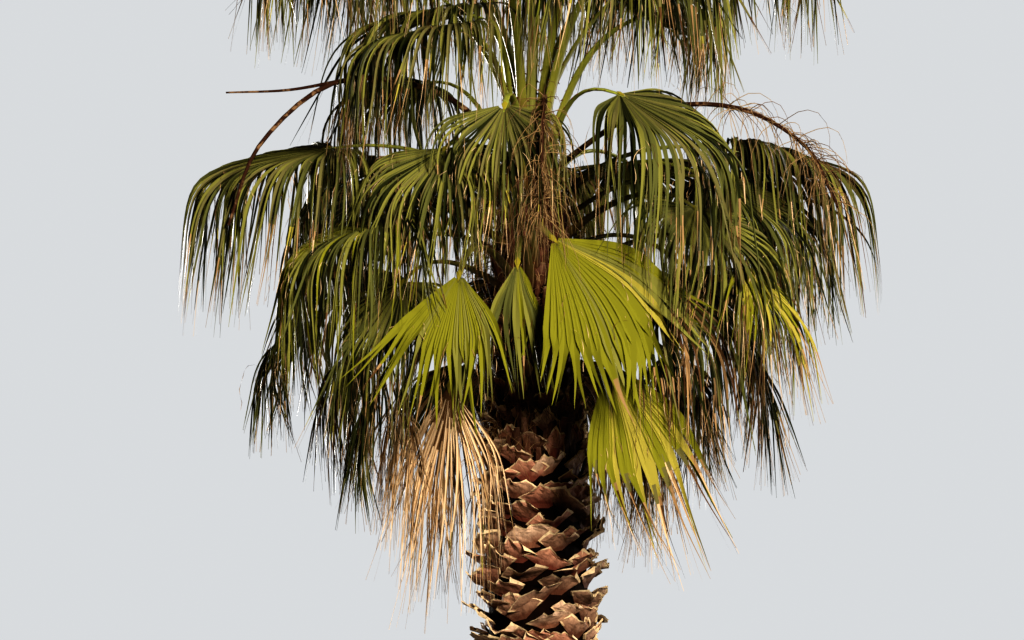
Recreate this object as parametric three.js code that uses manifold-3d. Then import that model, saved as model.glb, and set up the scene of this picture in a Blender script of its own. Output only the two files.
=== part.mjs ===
// A tall fan palm as an assembly of solids: one trunk with its root flare and its scaly coat of old leaf
// bases, the fan fronds that spread and hang round its top, the closed new leaf and the old flower stalks.
// The trunk's foot is at the origin, +Z is up, and the side shown here as the front faces -Y.
import * as THREE from "three";
import { mergeVertices } from "three/addons/utils/BufferGeometryUtils.js";
import Module from "manifold-3d";

const wasm = await Module();
wasm.setup();

// Driving dimensions, in metres. Every place in the crown is measured from its heart, the growing point.
const MM = 1000;
const HEART = new THREE.Vector3(-0.1, 0, 6.6);
const LEAN_BEND = 1.3;
const GAP = 0.0004;
const FAN_GAP = 0.002;
const SLIVER = 0.8;

// The trunk: its outline from the foot to the tip, and the old leaf bases that stand out of it.
const TRUNK_OUTLINE = [
  { height: 0, radius: 0.42 },
  { height: 0.12, radius: 0.355 },
  { height: 0.4, radius: 0.3 },
  { height: 1.0, radius: 0.262 },
  { height: 2.5, radius: 0.245 },
  { height: 4.6, radius: 0.235 },
  { height: 5.5, radius: 0.19 },
  { height: 6.25, radius: 0.145 },
  { height: 6.6, radius: 0.085 },
];
const TRUNK_TIP = 6.74;
const TRUNK_SIDES = 12;
const SCALE_ROW = 0.18;
const SCALE_DEPTH = 0.034;
const SCALES_FROM = 1.0;
const SCALES_FULL = 1.5;
const SCALES_FADE = 5.3;
const SCALES_TO = 5.7;
const FLARE_LOBES = 5;
const FLARE_DEPTH = 0.02;
const FLARE_REACH = 0.3;

// A frond: its leaf stalk and its fan blade.
const STALK_BASE = 0.03;
const STALK_TIP = 0.013;
const STALK_NARROWING = 0.7;
const STALK_FLATNESS = 0.62;
const STALK_SIDES = 3;
const STALK_STEPS = 3;
const STALK_END = 0.04;
const STALK_ARCH = 0.38;
// Where a stalk's foot sits on the trunk, and how steeply it climbs, by the height of its fan's foot.
const SEAT = { depth: 0.06, belowHeart: 0.25, youngRise: 0.24, oldDrop: 0.62 };
const CLIMB = { atHeart: 48, perMetre: 30, least: 12, most: 82 };
const BLADE_THICKNESS = 0.008;
const BLADE_START = 0.03;
const COLUMN_SPREAD = 27;
const SIDE_SHORTENING = 0.25;
const BEND_FROM = 0.2;
const BEND_TO = 0.66;
const PATH_STEPS = 24;
const NEARBY = 0.04;

// What a frond has unless its own entry says otherwise: fan length in metres, and angles in degrees.
const USUAL = { long: 1.15, spread: 100, droop: 1, pitch: -20, swing: 0, roll: 0, rows: 3 };
const STIFF = { droop: 0.45 };
const PLAIN = { rows: 2 };

// The fronds that show from the front. at is where stalk and fan meet, right, back and up of the heart.
// pitch tips the fan down, face is the compass way that it looks, swing turns it in its own plane.
const SHOWN_FRONDS = {
  centre_fan: { at: [0.1, -0.95, -0.5], face: -85, pitch: -76, swing: 40, ...STIFF, long: 0.95, spread: 46 },
  left_fan: { at: [-0.33, -0.9, -0.66], face: -100, pitch: -74, swing: -6, ...STIFF, long: 0.82, spread: 44 },
  low_right_fan: {
    at: [0.36, -0.75, -1.05], face: -80, pitch: -78, swing: 20, long: 1.1, spread: 36, droop: 0.6,
  },
  inner_fan: { at: [-0.06, -0.88, -0.6], face: -92, pitch: -86, long: 0.66, spread: 30 },
  right_front: { at: [0.42, -0.8, 0.21], face: -52, pitch: -36, swing: 30, long: 1.2, spread: 84 },
  right_front_low: { at: [0.78, -0.6, -0.3], face: -50, pitch: -44, long: 0.95 },
  right_inner: { at: [0.6, -0.6, -0.6], face: -48, pitch: -58, long: 1.0, spread: 80 },
  right_yellow: { at: [1.0, -0.64, -0.57], face: -34, pitch: -50, long: 0.84, spread: 60, droop: 0.8 },
  far_right_top: { at: [0.99, 0.2, 0.12], face: 4, pitch: -12, long: 1.22, droop: 0.88 },
  far_right: { at: [0.96, -0.15, -0.12], face: -14, pitch: -32, roll: 18, long: 0.88 },
  right_back: { at: [0.86, 0.52, 0.05], face: 34, pitch: -22, spread: 84 },
  right_low: { at: [0.99, 0.1, -0.72], face: 0, pitch: -66, long: 0.86, spread: 80 },
  right_lower: { at: [0.72, 0.1, -0.95], face: 8, pitch: -66, long: 0.6, spread: 75 },
  right_lowest: { at: [0.5, 0.3, -1.12], face: 25, pitch: -76, long: 0.68, spread: 60 },
  left_big: { at: [-0.96, -0.15, 0.07], face: -170, pitch: -13, roll: -14, long: 1.28, droop: 0.87 },
  left_back: { at: [-0.72, 0.42, -0.02], face: 152, pitch: -20, long: 1.0, spread: 84 },
  left_high: { at: [-0.5, 0.25, 0.47], face: 150, pitch: -12, long: 0.9, spread: 84 },
  left_mid: { at: [-0.7, -0.6, -0.33], face: -142, pitch: -28, long: 1.05 },
  left_mid_low: { at: [-0.6, -0.52, -0.64], face: -138, pitch: -60, long: 0.9, spread: 80 },
  left_low_dark: { at: [-1.04, -0.08, -0.76], face: 180, pitch: -44, roll: 12, long: 0.72, spread: 60 },
  left_bottom: { at: [-0.66, -0.42, -1.0], face: -158, pitch: -62, roll: 16, long: 0.82, spread: 70 },
  centre_top: { at: [-0.12, -0.85, 0.15], face: -100, pitch: -56, long: 0.82, spread: 75 },
  centre_left: { at: [-0.4, -0.75, -0.04], face: -112, pitch: -45, long: 0.85, spread: 90 },
  upper_left_front: { at: [-0.36, -0.42, 0.6], face: -144, pitch: -12, long: 1.05, spread: 84 },
  upper_left_inner: { at: [-0.3, -0.1, 0.74], face: -150, pitch: -8, spread: 84 },
  upper_left: { at: [-0.8, -0.1, 1.04], face: 178, pitch: 16, long: 1.02 },
  upper_left_back: { at: [-0.55, 0.34, 1.25], face: 150, pitch: 25, spread: 84 },
  top_right_front: { at: [0.36, -0.35, 0.9], face: -62, pitch: 8, long: 1.2, spread: 88 },
  top_left_front: { at: [-0.2, -0.3, 1.04], face: -116, pitch: 16, long: 1.25, spread: 80 },
  top_back: { at: [0.28, 0.22, 1.06], face: 64, pitch: 16, long: 1.12, spread: 84 },
  upper_right: { at: [0.52, -0.3, 0.68], face: -34, pitch: 6, roll: -8, long: 0.84, spread: 80 },
  upper_right_far: { at: [0.9, 0.15, 1.12], face: 3, pitch: 12, long: 1.0, spread: 56 },
};

// The fronds behind, in tiers: how far out and up their fans begin, and the compass way of each.
const BACK_TIERS = {
  upper: { out: 0.74, up: 1.12, pitch: 14, long: 0.92, spread: 82, ways: [42, 84, 128] },
  high: { out: 1.04, up: 0.2, pitch: -10, spread: 84, ways: [63, 95, 124] },
  middle: { out: 1.1, up: -0.36, pitch: -34, long: 0.92, spread: 84, ways: [46, 92, 136] },
  low: { out: 0.92, up: -0.82, pitch: -60, long: 0.78, spread: 66, ways: [44, 76, 112, 150] },
};

// Dead fronds, folded and hanging close round the trunk.
const DEAD_FRONDS = {
  left: { at: [-0.38, -0.5, -1.13], face: -118, pitch: -87, long: 1.1, spread: 40 },
  left_outer: { at: [-0.6, -0.36, -1.1], face: -150, pitch: -84, long: 0.76, spread: 42 },
  right: { at: [0.53, -0.3, -1.18], face: -38, pitch: -82, long: 0.8, spread: 34 },
  back_right: { at: [0.36, 0.42, -1.16], face: 50, pitch: -86, long: 0.62, spread: 40 },
  back: { at: [-0.06, 0.55, -1.22], face: 96, pitch: -86, long: 0.88, spread: 40 },
  back_left: { at: [-0.42, 0.36, -1.2], face: 142, pitch: -86, long: 0.86, spread: 40 },
};

// Old flower stalks: their thickness at the foot, and the places that each passes.
const FLOWER_STALKS = {
  left: {
    radius: 0.017,
    route: [[-0.06, 0, 0], [-0.4, -0.26, 0.3], [-0.9, -0.5, 0.33], [-1.27, -0.66, 0], [-1.42, -0.7, -0.4]],
  },
  left_spur: {
    radius: 0.009,
    route: [[-0.9, -0.5, 0.33], [-1.15, -0.58, 0.27], [-1.44, -0.62, 0.25]],
  },
  right: {
    radius: 0.015,
    route: [[0.06, 0, -0.05], [0.5, -0.3, 0.2], [0.95, -0.48, 0.21], [1.3, -0.5, 0.02], [1.46, -0.5, -0.28]],
  },
  centre: {
    radius: 0.014,
    route: [[0.03, -0.05, 0], [0.07, -0.5, 0.22], [0.06, -1, 0.12], [0.05, -1.1, -0.22], [0.04, -1.1, -0.42]],
  },
};
const FLOWER_STALK_TAPER = 0.45;
const FLOWER_STALK_SIDES = 4;
const NEW_LEAF = { length: 0.95, radius: 0.026, narrowing: 0.85, sunk: 0.05, leans: [0.02, 0.03], sides: 5 };

const UP = new THREE.Vector3(0, 0, 1);
const DOWN = new THREE.Vector3(0, 0, -1);
const degrees = THREE.MathUtils.degToRad;

// Moves every vertex of a geometry through a function of its place.
function mapped(geometry, place) {
  const position = geometry.getAttribute("position");
  const vertex = new THREE.Vector3();
  for (let i = 0; i < position.count; i++) {
    vertex.fromBufferAttribute(position, i);
    const moved = place(vertex);
    position.setXYZ(i, moved.x, moved.y, moved.z);
  }
  return geometry;
}

// A closed geometry in metres as a solid in millimetres, with its faces pointing out.
function solidOf(geometry) {
  geometry.deleteAttribute("normal");
  geometry.deleteAttribute("uv");
  const merged = mergeVertices(geometry.scale(MM, MM, MM), 1e-3);
  const vertProperties = merged.getAttribute("position").array;
  const triVerts = new Uint32Array(merged.index.array);
  const solid = new wasm.Manifold(new wasm.Mesh({ numProp: 3, vertProperties, triVerts }));
  if (solid.volume() > 0) return solid;
  for (let i = 0; i < triVerts.length; i += 3) {
    [triVerts[i + 1], triVerts[i + 2]] = [triVerts[i + 2], triVerts[i + 1]];
  }
  return new wasm.Manifold(new wasm.Mesh({ numProp: 3, vertProperties, triVerts }));
}

function geometryOf(solid) {
  const mesh = solid.getMesh();
  const geometry = new THREE.BufferGeometry();
  geometry.setAttribute("position", new THREE.BufferAttribute(new Float32Array(mesh.vertProperties), 3));
  geometry.setIndex(new THREE.BufferAttribute(new Uint32Array(mesh.triVerts), 1));
  return geometry;
}

// The one of a solid's separate bodies that holds most of another solid.
function bodyWith(solid, kept) {
  const held = (body) => body.intersect(kept).volume();
  return solid.decompose().reduce((a, b) => (held(a) > held(b) ? a : b));
}

// The trunk leans a little: the axis's sideways place at a height.
function axisAt(height) {
  const share = Math.pow(Math.max(height, 0) / HEART.z, LEAN_BEND);
  return new THREE.Vector3(HEART.x * share, HEART.y * share, height);
}

function trunkRadius(height) {
  const next = TRUNK_OUTLINE.findIndex((p) => p.height > height);
  if (next < 0) {
    const top = TRUNK_OUTLINE.at(-1);
    return top.radius * Math.sqrt(Math.max(0, 1 - ((height - top.height) / (TRUNK_TIP - top.height)) ** 2));
  }
  if (next === 0) return TRUNK_OUTLINE[0].radius;
  const [low, high] = [TRUNK_OUTLINE[next - 1], TRUNK_OUTLINE[next]];
  return THREE.MathUtils.mapLinear(height, low.height, high.height, low.radius, high.radius);
}

// The trunk is turned from its outline, then given its lean, its flare lobes and its rows of scales,
// which stand out on every second corner of every row.
function trunkSolid(grow = 0) {
  const rows = Math.round(TRUNK_TIP / SCALE_ROW);
  const profile = [new THREE.Vector2(0, 0)];
  for (let i = 0; i < rows; i++) {
    const height = (TRUNK_TIP * i) / rows;
    profile.push(new THREE.Vector2(trunkRadius(height) + grow, height));
  }
  profile.push(new THREE.Vector2(0, TRUNK_TIP + grow));
  const turned = new THREE.LatheGeometry(profile, TRUNK_SIDES);
  return solidOf(
    mapped(turned, (v) => {
      const height = v.y;
      const way = Math.atan2(v.x, v.z);
      const row = Math.round((height * rows) / TRUNK_TIP);
      const side = Math.round((way / (2 * Math.PI)) * TRUNK_SIDES);
      const rising = THREE.MathUtils.smoothstep(height, SCALES_FROM, SCALES_FULL);
      const fading = 1 - THREE.MathUtils.smoothstep(height, SCALES_FADE, SCALES_TO);
      const scale = (Math.abs(row + side) % 2 === 0 ? 1 : -1) * SCALE_DEPTH * rising * fading;
      const lobe = FLARE_DEPTH * Math.cos(FLARE_LOBES * way) * Math.exp(-height / FLARE_REACH);
      const radius = Math.hypot(v.x, v.z);
      const wide = radius > 0 ? (radius + scale + lobe) / radius : 1;
      const axis = axisAt(height);
      return new THREE.Vector3(axis.x + v.x * wide, axis.y + v.z * wide, height);
    }),
  );
}

// A limb that tapers along a curve, with its flat top's width across the given side. grow adds a gap.
function limbSolid(curve, steps, sides, radiusAt, side, flatness = 1, grow = 0) {
  const more = grow / Math.cos(Math.PI / sides);
  const tube = new THREE.CylinderGeometry(1, 1, 1, sides, steps);
  return solidOf(
    mapped(tube, (v) => {
      const share = v.y + 0.5;
      const along = curve.getTangentAt(THREE.MathUtils.clamp(share, 0.001, 0.999));
      const lift = new THREE.Vector3().crossVectors(along, side).normalize();
      const across = new THREE.Vector3().crossVectors(lift, along).normalize();
      const radius = radiusAt(share);
      return curve
        .getPointAt(share)
        .addScaledVector(across, v.x * (radius + more))
        .addScaledVector(lift, -v.z * (radius * flatness + more))
        .addScaledVector(along, grow * Math.trunc(2 * share - 1));
    }),
  );
}

// A frond's directions: along its middle rib, across the fan and up out of its upper face.
function bladeAxes(frond) {
  const face = degrees(frond.face);
  const out = new THREE.Vector3(Math.cos(face), Math.sin(face), 0);
  const across = new THREE.Vector3(-Math.sin(face), Math.cos(face), 0);
  const pitch = degrees(frond.pitch);
  const along = out.multiplyScalar(Math.cos(pitch)).addScaledVector(UP, Math.sin(pitch));
  const up = new THREE.Vector3().crossVectors(along, across);
  along.applyAxisAngle(up, degrees(frond.swing));
  across.applyAxisAngle(up, degrees(frond.swing));
  across.applyAxisAngle(along, degrees(frond.roll));
  return { along, across };
}

// The line of one leaf segment, which leaves the fan at an angle and bends down under its own weight.
function segmentPath(frond, axes, angle) {
  const start = new THREE.Vector3()
    .addScaledVector(axes.along, Math.cos(angle))
    .addScaledVector(axes.across, Math.sin(angle));
  const side = angle / degrees(frond.spread);
  const length = frond.long * (1 - SIDE_SHORTENING * side * side);
  const points = [];
  const at = new THREE.Vector3(...frond.at).add(HEART).addScaledVector(start, BLADE_START);
  for (let i = 0; i <= PATH_STEPS; i++) {
    points.push(at.clone());
    const bend = frond.droop * THREE.MathUtils.smoothstep(i / PATH_STEPS, BEND_FROM, BEND_TO);
    const way = start.clone().multiplyScalar(1 - bend).addScaledVector(DOWN, bend).normalize();
    at.addScaledVector(way, (length - BLADE_START) / PATH_STEPS);
  }
  return points;
}

// The fan as a thin curved sheet: a flat box whose columns follow the leaf segments' lines.
function bladeSolid(frond) {
  const axes = bladeAxes(frond);
  const spread = degrees(frond.spread);
  const columns = Math.max(2, Math.round(frond.spread / COLUMN_SPREAD));
  const box = new THREE.BoxGeometry(2, 1, 2, columns, frond.rows, 1);
  const at = (side, share) => {
    const path = segmentPath(frond, axes, side * spread);
    return path[Math.round(THREE.MathUtils.clamp(share, 0, 1) * PATH_STEPS)];
  };
  return solidOf(
    mapped(box, (v) => {
      const share = v.y + 0.5;
      const wide = Math.max(share, 3 * NEARBY);
      const across = at(v.x + NEARBY, wide).clone().sub(at(v.x - NEARBY, wide)).normalize();
      const along = at(v.x, share + 2 * NEARBY).clone().sub(at(v.x, share - 2 * NEARBY)).normalize();
      const normal = new THREE.Vector3().crossVectors(across, along).normalize();
      return at(v.x, share)
        .clone()
        .addScaledVector(normal, (v.z * BLADE_THICKNESS) / 2);
    }),
  );
}

// The leaf stalk leaves the trunk upwards, old ones less steeply, and arches over to its fan.
function stalkSolid(frond, grow = 0) {
  const end = new THREE.Vector3(...frond.at);
  const out = new THREE.Vector3(end.x, end.y, 0).normalize();
  const seat = end.z * (end.z > 0 ? SEAT.youngRise : SEAT.oldDrop) - SEAT.belowHeart;
  const steepness = CLIMB.atHeart + CLIMB.perMetre * end.z;
  const climb = degrees(THREE.MathUtils.clamp(steepness, CLIMB.least, CLIMB.most));
  const rise = out.clone().multiplyScalar(Math.cos(climb)).addScaledVector(UP, Math.sin(climb));
  const height = HEART.z + seat;
  const root = axisAt(height).addScaledVector(out, Math.max(trunkRadius(height) - SEAT.depth, 0));
  const top = end.clone().add(HEART);
  const reach = root.distanceTo(top) * STALK_ARCH;
  const { along, across } = bladeAxes(frond);
  const curve = new THREE.CubicBezierCurve3(
    root,
    root.clone().addScaledVector(rise, reach),
    top.clone().addScaledVector(along, -reach),
    top.clone().addScaledVector(along, STALK_END),
  );
  const radiusAt = (share) => THREE.MathUtils.lerp(STALK_BASE, STALK_TIP, Math.pow(share, STALK_NARROWING));
  return limbSolid(curve, STALK_STEPS, STALK_SIDES, radiusAt, across, STALK_FLATNESS, grow);
}

function flowerStalkSolid(stalk, grow = 0) {
  const curve = new THREE.CatmullRomCurve3(stalk.route.map((p) => new THREE.Vector3(...p).add(HEART)));
  const radiusAt = (share) => stalk.radius * THREE.MathUtils.lerp(1, FLOWER_STALK_TAPER, share);
  const sideways = new THREE.Vector3(0, 1, 0);
  return limbSolid(curve, 2 * stalk.route.length, FLOWER_STALK_SIDES, radiusAt, sideways, 1, grow);
}

// The closed new leaf stands on the trunk's tip like a spear.
function newLeafSolid(grow = 0) {
  const foot = axisAt(TRUNK_TIP - NEW_LEAF.sunk);
  const tip = foot.clone().add(new THREE.Vector3(...NEW_LEAF.leans, NEW_LEAF.length));
  const curve = new THREE.LineCurve3(foot, tip);
  const radiusAt = (share) => NEW_LEAF.radius * (1 - NEW_LEAF.narrowing * share * share);
  return limbSolid(curve, STALK_STEPS, NEW_LEAF.sides, radiusAt, new THREE.Vector3(0, 1, 0), 1, grow);
}

function allFronds() {
  const fronds = [];
  const add = (name, frond, material) => fronds.push({ ...USUAL, ...frond, name, material });
  for (const [name, frond] of Object.entries(SHOWN_FRONDS)) add(`frond_${name}`, frond, "frond");
  for (const [name, frond] of Object.entries(DEAD_FRONDS)) {
    add(`dead_frond_${name}`, { ...frond, ...PLAIN }, "dead_frond");
  }
  for (const [tier, { out, up, ways, ...frond }] of Object.entries(BACK_TIERS)) {
    ways.forEach((way, i) => {
      const at = [out * Math.cos(degrees(way)), out * Math.sin(degrees(way)), up];
      add(`frond_back_${tier}_${i + 1}`, { ...frond, ...PLAIN, at, face: way }, "frond");
    });
  }
  return fronds;
}

const MATERIALS = {
  trunk: new THREE.MeshStandardMaterial({ color: 0x7d5540, roughness: 0.9, metalness: 0 }),
  frond: new THREE.MeshStandardMaterial({ color: 0x7f9030, roughness: 0.5, metalness: 0 }),
  dead_frond: new THREE.MeshStandardMaterial({ color: 0xb08d5c, roughness: 0.85, metalness: 0 }),
  flower_stalk: new THREE.MeshStandardMaterial({ color: 0x7a5638, roughness: 0.8, metalness: 0 }),
};

const tree = new THREE.Group();
function addNode(name, solid, material) {
  const mesh = new THREE.Mesh(geometryOf(solid), MATERIALS[material]);
  mesh.name = name;
  tree.add(mesh);
}

const clearOf = (solid, rooms) => rooms.reduce((rest, room) => rest.subtract(room), solid);

// The trunk comes first, then the limbs, each cut clear of the trunk and of the limbs before it.
addNode("trunk", trunkSolid(), "trunk");
const trunkRoom = trunkSolid(GAP);

const limbs = [{ name: "new_leaf", material: "frond", shape: newLeafSolid }];
for (const [name, stalk] of Object.entries(FLOWER_STALKS)) {
  const shape = (grow) => flowerStalkSolid(stalk, grow);
  limbs.push({ name: `flower_stalk_${name}`, material: "flower_stalk", shape });
}
for (const frond of allFronds()) {
  const shape = (grow) => stalkSolid(frond, grow);
  limbs.push({ name: frond.name, material: frond.material, shape, frond });
}
const closeRooms = limbs.map((limb) => limb.shape(GAP));
limbs.forEach((limb, i) => {
  const shape = limb.shape();
  limb.solid = bodyWith(clearOf(shape, [trunkRoom, ...closeRooms.slice(0, i)]), shape);
});

// Then the fans, from the lowest up, so that the ones above lose only their tips: each has a slot for
// every limb that passes it, and stops at the fans before it.
const passRooms = new Map(limbs.map((limb) => [limb, limb.shape(FAN_GAP)]));
const gapCube = wasm.Manifold.cube([2 * FAN_GAP * MM, 2 * FAN_GAP * MM, 2 * FAN_GAP * MM], true);
const fanRooms = [trunkSolid(FAN_GAP)];
const stalks = limbs.filter((limb) => limb.frond).sort((a, b) => a.frond.at[2] - b.frond.at[2]);
for (const limb of stalks) {
  const passing = limbs.filter((other) => other !== limb).map((other) => passRooms.get(other));
  const whole = bladeSolid(limb.frond);
  const fan = clearOf(whole, [...passing, ...fanRooms]).simplify(SLIVER);
  limb.solid = bodyWith(limb.solid.add(fan), limb.solid);
  fanRooms.push(whole.minkowskiSum(gapCube).simplify(SLIVER / 2));
}
for (const limb of limbs) addNode(limb.name, limb.solid, limb.material);

export default tree;
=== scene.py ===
# %% [markdown]
# A fan palm in cells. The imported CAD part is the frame: it holds one plain solid for the trunk, for each
# frond and for each old flower stalk. It is loaded first, because every finer piece takes the place of one
# of those solids and has to stay where it stands.

# %% Load the frame
import math

import bmesh
import bpy
import numpy as np
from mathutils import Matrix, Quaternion, Vector


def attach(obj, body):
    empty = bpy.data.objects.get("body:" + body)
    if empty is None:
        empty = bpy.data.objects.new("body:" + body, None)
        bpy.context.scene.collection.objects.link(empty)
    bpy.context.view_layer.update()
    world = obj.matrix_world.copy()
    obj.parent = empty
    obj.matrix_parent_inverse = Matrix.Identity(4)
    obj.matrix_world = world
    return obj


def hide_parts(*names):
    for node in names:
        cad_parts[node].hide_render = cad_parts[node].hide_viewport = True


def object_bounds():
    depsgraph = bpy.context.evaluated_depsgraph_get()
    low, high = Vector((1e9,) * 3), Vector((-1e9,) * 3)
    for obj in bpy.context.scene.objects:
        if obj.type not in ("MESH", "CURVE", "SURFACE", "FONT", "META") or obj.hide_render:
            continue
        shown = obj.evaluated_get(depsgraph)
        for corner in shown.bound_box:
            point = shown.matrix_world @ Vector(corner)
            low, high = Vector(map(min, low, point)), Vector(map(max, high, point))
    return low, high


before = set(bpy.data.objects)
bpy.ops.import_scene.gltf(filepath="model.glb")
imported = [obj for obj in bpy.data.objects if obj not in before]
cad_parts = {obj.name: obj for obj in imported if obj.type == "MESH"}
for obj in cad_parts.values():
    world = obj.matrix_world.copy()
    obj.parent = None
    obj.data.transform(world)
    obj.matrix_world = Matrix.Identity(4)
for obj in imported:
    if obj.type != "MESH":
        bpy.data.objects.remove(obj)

CAD_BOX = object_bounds()
print("the frame has", len(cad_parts), "nodes, and its box is", CAD_BOX)

# %% [markdown]
# The palm's driving sizes are those of the CAD part, in metres: a growing point, the heart, from which every
# place in the crown is measured, a trunk that leans a little, and its outline from the foot to the tip.
# They are repeated here, because a script that reads nothing else from disk can still be read on its own.

# %% Sizes of the trunk
HEART = np.array([-0.1, 0.0, 6.6])
LEAN_BEND = 1.3
TRUNK_HEIGHTS = [0, 0.12, 0.4, 1.0, 2.5, 4.6, 5.5, 6.25, 6.6, 6.74]
TRUNK_RADII = [0.42, 0.355, 0.3, 0.262, 0.245, 0.235, 0.19, 0.145, 0.085, 0.01]
FLARE_LOBES = 5
FLARE_DEPTH = 0.02
FLARE_REACH = 0.3
UP = np.array([0.0, 0.0, 1.0])
DOWN = -UP
rng = np.random.default_rng(7)


def axis_at(height):
    """The middle of the leaning trunk at each height."""
    height = np.asarray(height, float)
    share = (np.maximum(height, 0) / HEART[2]) ** LEAN_BEND
    return np.stack([HEART[0] * share, HEART[1] * share, height], -1)


def trunk_radius(height):
    return np.interp(height, TRUNK_HEIGHTS, TRUNK_RADII)


def outward(way):
    """Level directions at angles round the trunk, from +X towards +Y."""
    return np.stack([np.cos(way), np.sin(way), 0 * way], -1)


def smoothstep(x, low, high):
    t = np.clip((x - low) / (high - low), 0, 1)
    return t * t * (3 - 2 * t)


def unit(v):
    return v / np.maximum(np.linalg.norm(v, axis=-1, keepdims=True), 1e-9)


print("the trunk is", 2 * trunk_radius(2.5), "m thick at 2.5 m")

# %% [markdown]
# Each frond is one entry: where its stalk meets its fan (right, back and up of the heart), the compass way
# that the fan faces, how far it tips down, how wide it opens, how long it is and how much its segments
# droop. swing turns a fan in its own plane and roll about its middle rib. fused and widest are the shares of
# its length up to which the sheet holds together and a segment widens, and pleat is the angle between
# tone is its mix of leaf colours: young leaves are bright, old ones darker with dry brown tips, partly their
# own dull colour and partly painted shade, and the dark tone is painted shade for fronds in the crown's
# shadow.
# A table suits this better than a loop, because the photo shows most fronds one by one. Those behind it come
# from a few tiers.

# %% Sizes of the fronds
USUAL = dict(
    long=1.15, spread=100, droop=1, pitch=-20, swing=0, roll=0,
    fused=0.28, widest=0.42, pleat=2.6, tone="green",
)
STIFF = dict(droop=0.45, fused=0.62, widest=0.62, pleat=4.8, tone="bright")
CLOSED = dict(fused=0.12, widest=0.36, pleat=1.9, tone="dry")
# SHADED fronds take the dark tone, whose colour is mostly painted shade; the old tone of AGED fronds is
# partly their own dull colour and partly painted shade.
SHADED = dict(pleat=2.8, tone="dark")
AGED = dict(pleat=2.8, tone="old")
FRONDS = dict(
    centre_fan=dict(STIFF, at=(0.1, -0.95, -0.5), face=-85, pitch=-76, swing=40, long=0.95, spread=46),
    left_fan=dict(
        STIFF, at=(-0.33, -0.9, -0.66), face=-100, pitch=-74, swing=-6, long=0.82, spread=44,
        fused=0.42, widest=0.5,
    ),
    low_right_fan=dict(
        at=(0.36, -0.75, -1.05), face=-80, pitch=-78, swing=20, long=1.1, spread=36,
        droop=0.6, fused=0.5, pleat=4.0, tone="yellowing",
    ),
    # The inner fan hangs in the centre fan's shadow; its fresh tone paints light on it.
    inner_fan=dict(
        at=(-0.06, -0.88, -0.6), face=-92, pitch=-86, long=0.66, spread=30,
        fused=0.2, pleat=6, tone="fresh",
    ),
    right_front=dict(at=(0.42, -0.8, 0.21), face=-52, pitch=-36, swing=30, long=1.2, spread=84),
    right_front_low=dict(at=(0.78, -0.6, -0.3), face=-50, pitch=-44, long=0.95),
    right_inner=dict(at=(0.6, -0.6, -0.6), face=-48, pitch=-58, long=1.0, spread=80, tone="old"),
    right_yellow=dict(
        at=(1.0, -0.64, -0.57), face=-34, pitch=-50, long=0.84, spread=60, droop=0.8, tone="yellowing",
    ),
    far_right_top=dict(at=(0.99, 0.2, 0.12), face=4, pitch=-12, long=1.22, droop=0.88),
    far_right=dict(at=(0.96, -0.15, -0.12), face=-14, pitch=-32, roll=18, long=0.88),
    right_back=dict(SHADED, at=(0.86, 0.52, 0.05), face=34, pitch=-22, spread=84),
    right_low=dict(AGED, at=(0.99, 0.1, -0.72), face=0, pitch=-66, long=0.86, spread=80),
    right_lower=dict(AGED, at=(0.72, 0.1, -0.95), face=8, pitch=-66, long=0.6, spread=75),
    right_lowest=dict(AGED, at=(0.5, 0.3, -1.12), face=25, pitch=-76, long=0.68, spread=60),
    left_big=dict(at=(-0.96, -0.15, 0.07), face=-170, pitch=-13, roll=-14, long=1.28, droop=0.87),
    left_back=dict(SHADED, at=(-0.72, 0.42, -0.02), face=152, pitch=-20, long=1.0, spread=84),
    left_high=dict(SHADED, at=(-0.5, 0.25, 0.47), face=150, pitch=-12, long=0.9, spread=84),
    left_mid=dict(at=(-0.7, -0.6, -0.33), face=-142, pitch=-28, long=1.05, pleat=2.8, tone="fresh"),
    left_mid_low=dict(at=(-0.6, -0.52, -0.64), face=-138, pitch=-60, long=0.9, spread=80, pleat=2.5),
    left_low_dark=dict(SHADED, at=(-1.04, -0.08, -0.76), face=180, pitch=-44, roll=12, long=0.72, spread=60),
    left_bottom=dict(SHADED, at=(-0.66, -0.42, -1.0), face=-158, pitch=-62, roll=16, long=0.82, spread=70),
    centre_top=dict(at=(-0.12, -0.85, 0.15), face=-100, pitch=-56, long=0.82, spread=75, fused=0.2),
    centre_left=dict(at=(-0.4, -0.75, -0.04), face=-112, pitch=-45, long=0.85, spread=90, fused=0.24),
    upper_left_front=dict(at=(-0.36, -0.42, 0.6), face=-144, pitch=-12, long=1.05, spread=84),
    upper_left_inner=dict(at=(-0.3, -0.1, 0.74), face=-150, pitch=-8, spread=84),
    upper_left=dict(at=(-0.8, -0.1, 1.04), face=178, pitch=16, long=1.02),
    upper_left_back=dict(at=(-0.55, 0.34, 1.25), face=150, pitch=25, spread=84),
    top_right_front=dict(at=(0.36, -0.35, 0.9), face=-62, pitch=8, long=1.2, spread=88, pleat=3.2),
    top_left_front=dict(at=(-0.2, -0.3, 1.04), face=-116, pitch=16, long=1.25, spread=80),
    top_back=dict(SHADED, at=(0.28, 0.22, 1.06), face=64, pitch=16, long=1.12, spread=84),
    upper_right=dict(at=(0.52, -0.3, 0.68), face=-34, pitch=6, roll=-8, spread=80, long=0.84),
    upper_right_far=dict(at=(0.9, 0.15, 1.12), face=3, pitch=12, long=1.0, spread=56),
)
BACK_TIERS = dict(
    upper=dict(out=0.74, up=1.12, pitch=14, spread=82, long=0.92, ways=(42, 84, 128)),
    high=dict(out=1.04, up=0.2, pitch=-10, spread=84, ways=(63, 95, 124)),
    middle=dict(out=1.1, up=-0.36, pitch=-34, long=0.92, spread=84, ways=(46, 92, 136)),
    low=dict(out=0.92, up=-0.82, pitch=-60, long=0.78, spread=66, ways=(44, 76, 112, 150), tone="old"),
)
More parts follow.
